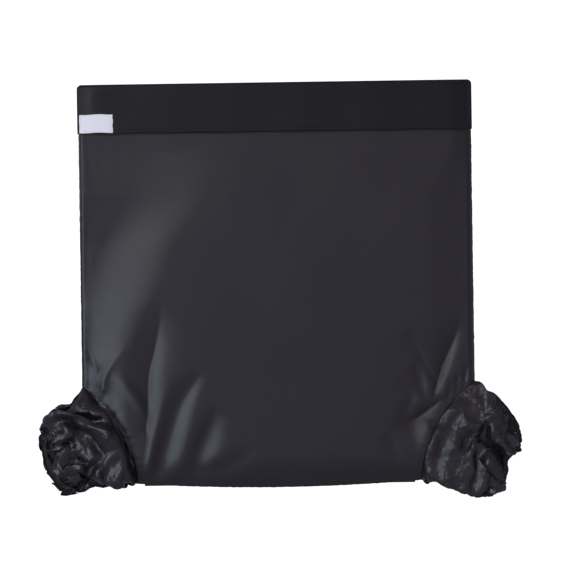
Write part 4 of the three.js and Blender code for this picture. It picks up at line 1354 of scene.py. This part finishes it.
def stage():
    """The white floor, the dim room round it and the lamps."""
    scene = bpy.context.scene
    scene.view_settings.view_transform = "Standard"
    floor_material, tree, shader = start_material("white_floor", (0.3, 0.3, 0.3), 0.9, specular=0.0)
    shader.inputs["Emission Color"].default_value = (1, 1, 1, 1)
    # Pure white to the eye, but it throws little light back up under the bag's edges.
    seen = node(tree, "ShaderNodeLightPath").outputs["Is Camera Ray"]
    tree.links.new(between(tree, seen, *FLOOR_STRENGTH), shader.inputs["Emission Strength"])
    corners = [(-1, -1), (1, -1), (1, 1), (-1, 1)]
    floor = mesh_piece("floor", [(FLOOR_HALF * x, FLOOR_HALF * y, FLOOR_LEVEL) for x, y in corners],
                       [(0, 1, 2, 3)], floor_material)
    world = bpy.data.worlds.new("dim_room")
    scene.world = world
    world.use_nodes = True
    tree = world.node_tree
    background = tree.nodes["Background"]
    background.inputs["Color"].default_value = ROOM_COLOUR
    direction = node(tree, "ShaderNodeTexCoord").outputs["Generated"]
    height = node(tree, "ShaderNodeSeparateXYZ", {0: direction}).outputs["Z"]
    tree.links.new(between(tree, height, *ROOM_STRENGTH), background.inputs["Strength"])
    for name, settings in LIGHTS.items():
        area_light(name, *settings)


def camera():
    """Straight above, with the bag rolled very slightly anticlockwise in the picture."""
    lens = bpy.data.cameras.new("camera")
    lens.lens = 136.1
    lens.sensor_width = 36.0
    lens.clip_start, lens.clip_end = 0.1, 20.0
    holder = bpy.data.objects.new("camera", lens)
    holder.location = (0.0151, 0.0003, 3.0)
    holder.rotation_euler = (0, 0, math.radians(-0.86))
    bpy.context.scene.collection.objects.link(holder)
    bpy.context.scene.camera = holder


# ---------------------------------------------------------------- put together

stage()
camera()
outer_front()
outer_back()
inner_front()
seam_rolls()
flap_stitches()
flap_cover()
flap_lining()
label()
for zip_row, lean in (("front", 1), ("back", -1)):
    toothed_coil(f"outer_{zip_row}_coil_turns", f"outer_zip_{zip_row}_coil", lean)
zip_stitches()
for side_name, side_sign in SIDES.items():
    sleeve(side_name, side_sign)

dress(["inner_back_panel", "inner_mouth_facing"], LINING)
dress(["right_seam_tape", "left_seam_tape", "bottom_seam_tape"], BINDING)
dress(["outer_zip_front_tape", "outer_zip_back_tape", "inner_zip_front_tape", "inner_zip_back_tape"],
      ZIP_TAPE)
dress(["inner_zip_front_coil", "inner_zip_back_coil"], COIL)
dress(["outer_zip_left_stop", "outer_zip_right_stop", "inner_zip_left_stop", "inner_zip_right_stop",
       "outer_zip_slider", "outer_zip_pull", "inner_zip_slider", "inner_zip_pull"], METAL, bevel=0.35)
dress(["loop_strip"], LOOPS)
dress(["hook_strip"], HOOKS)
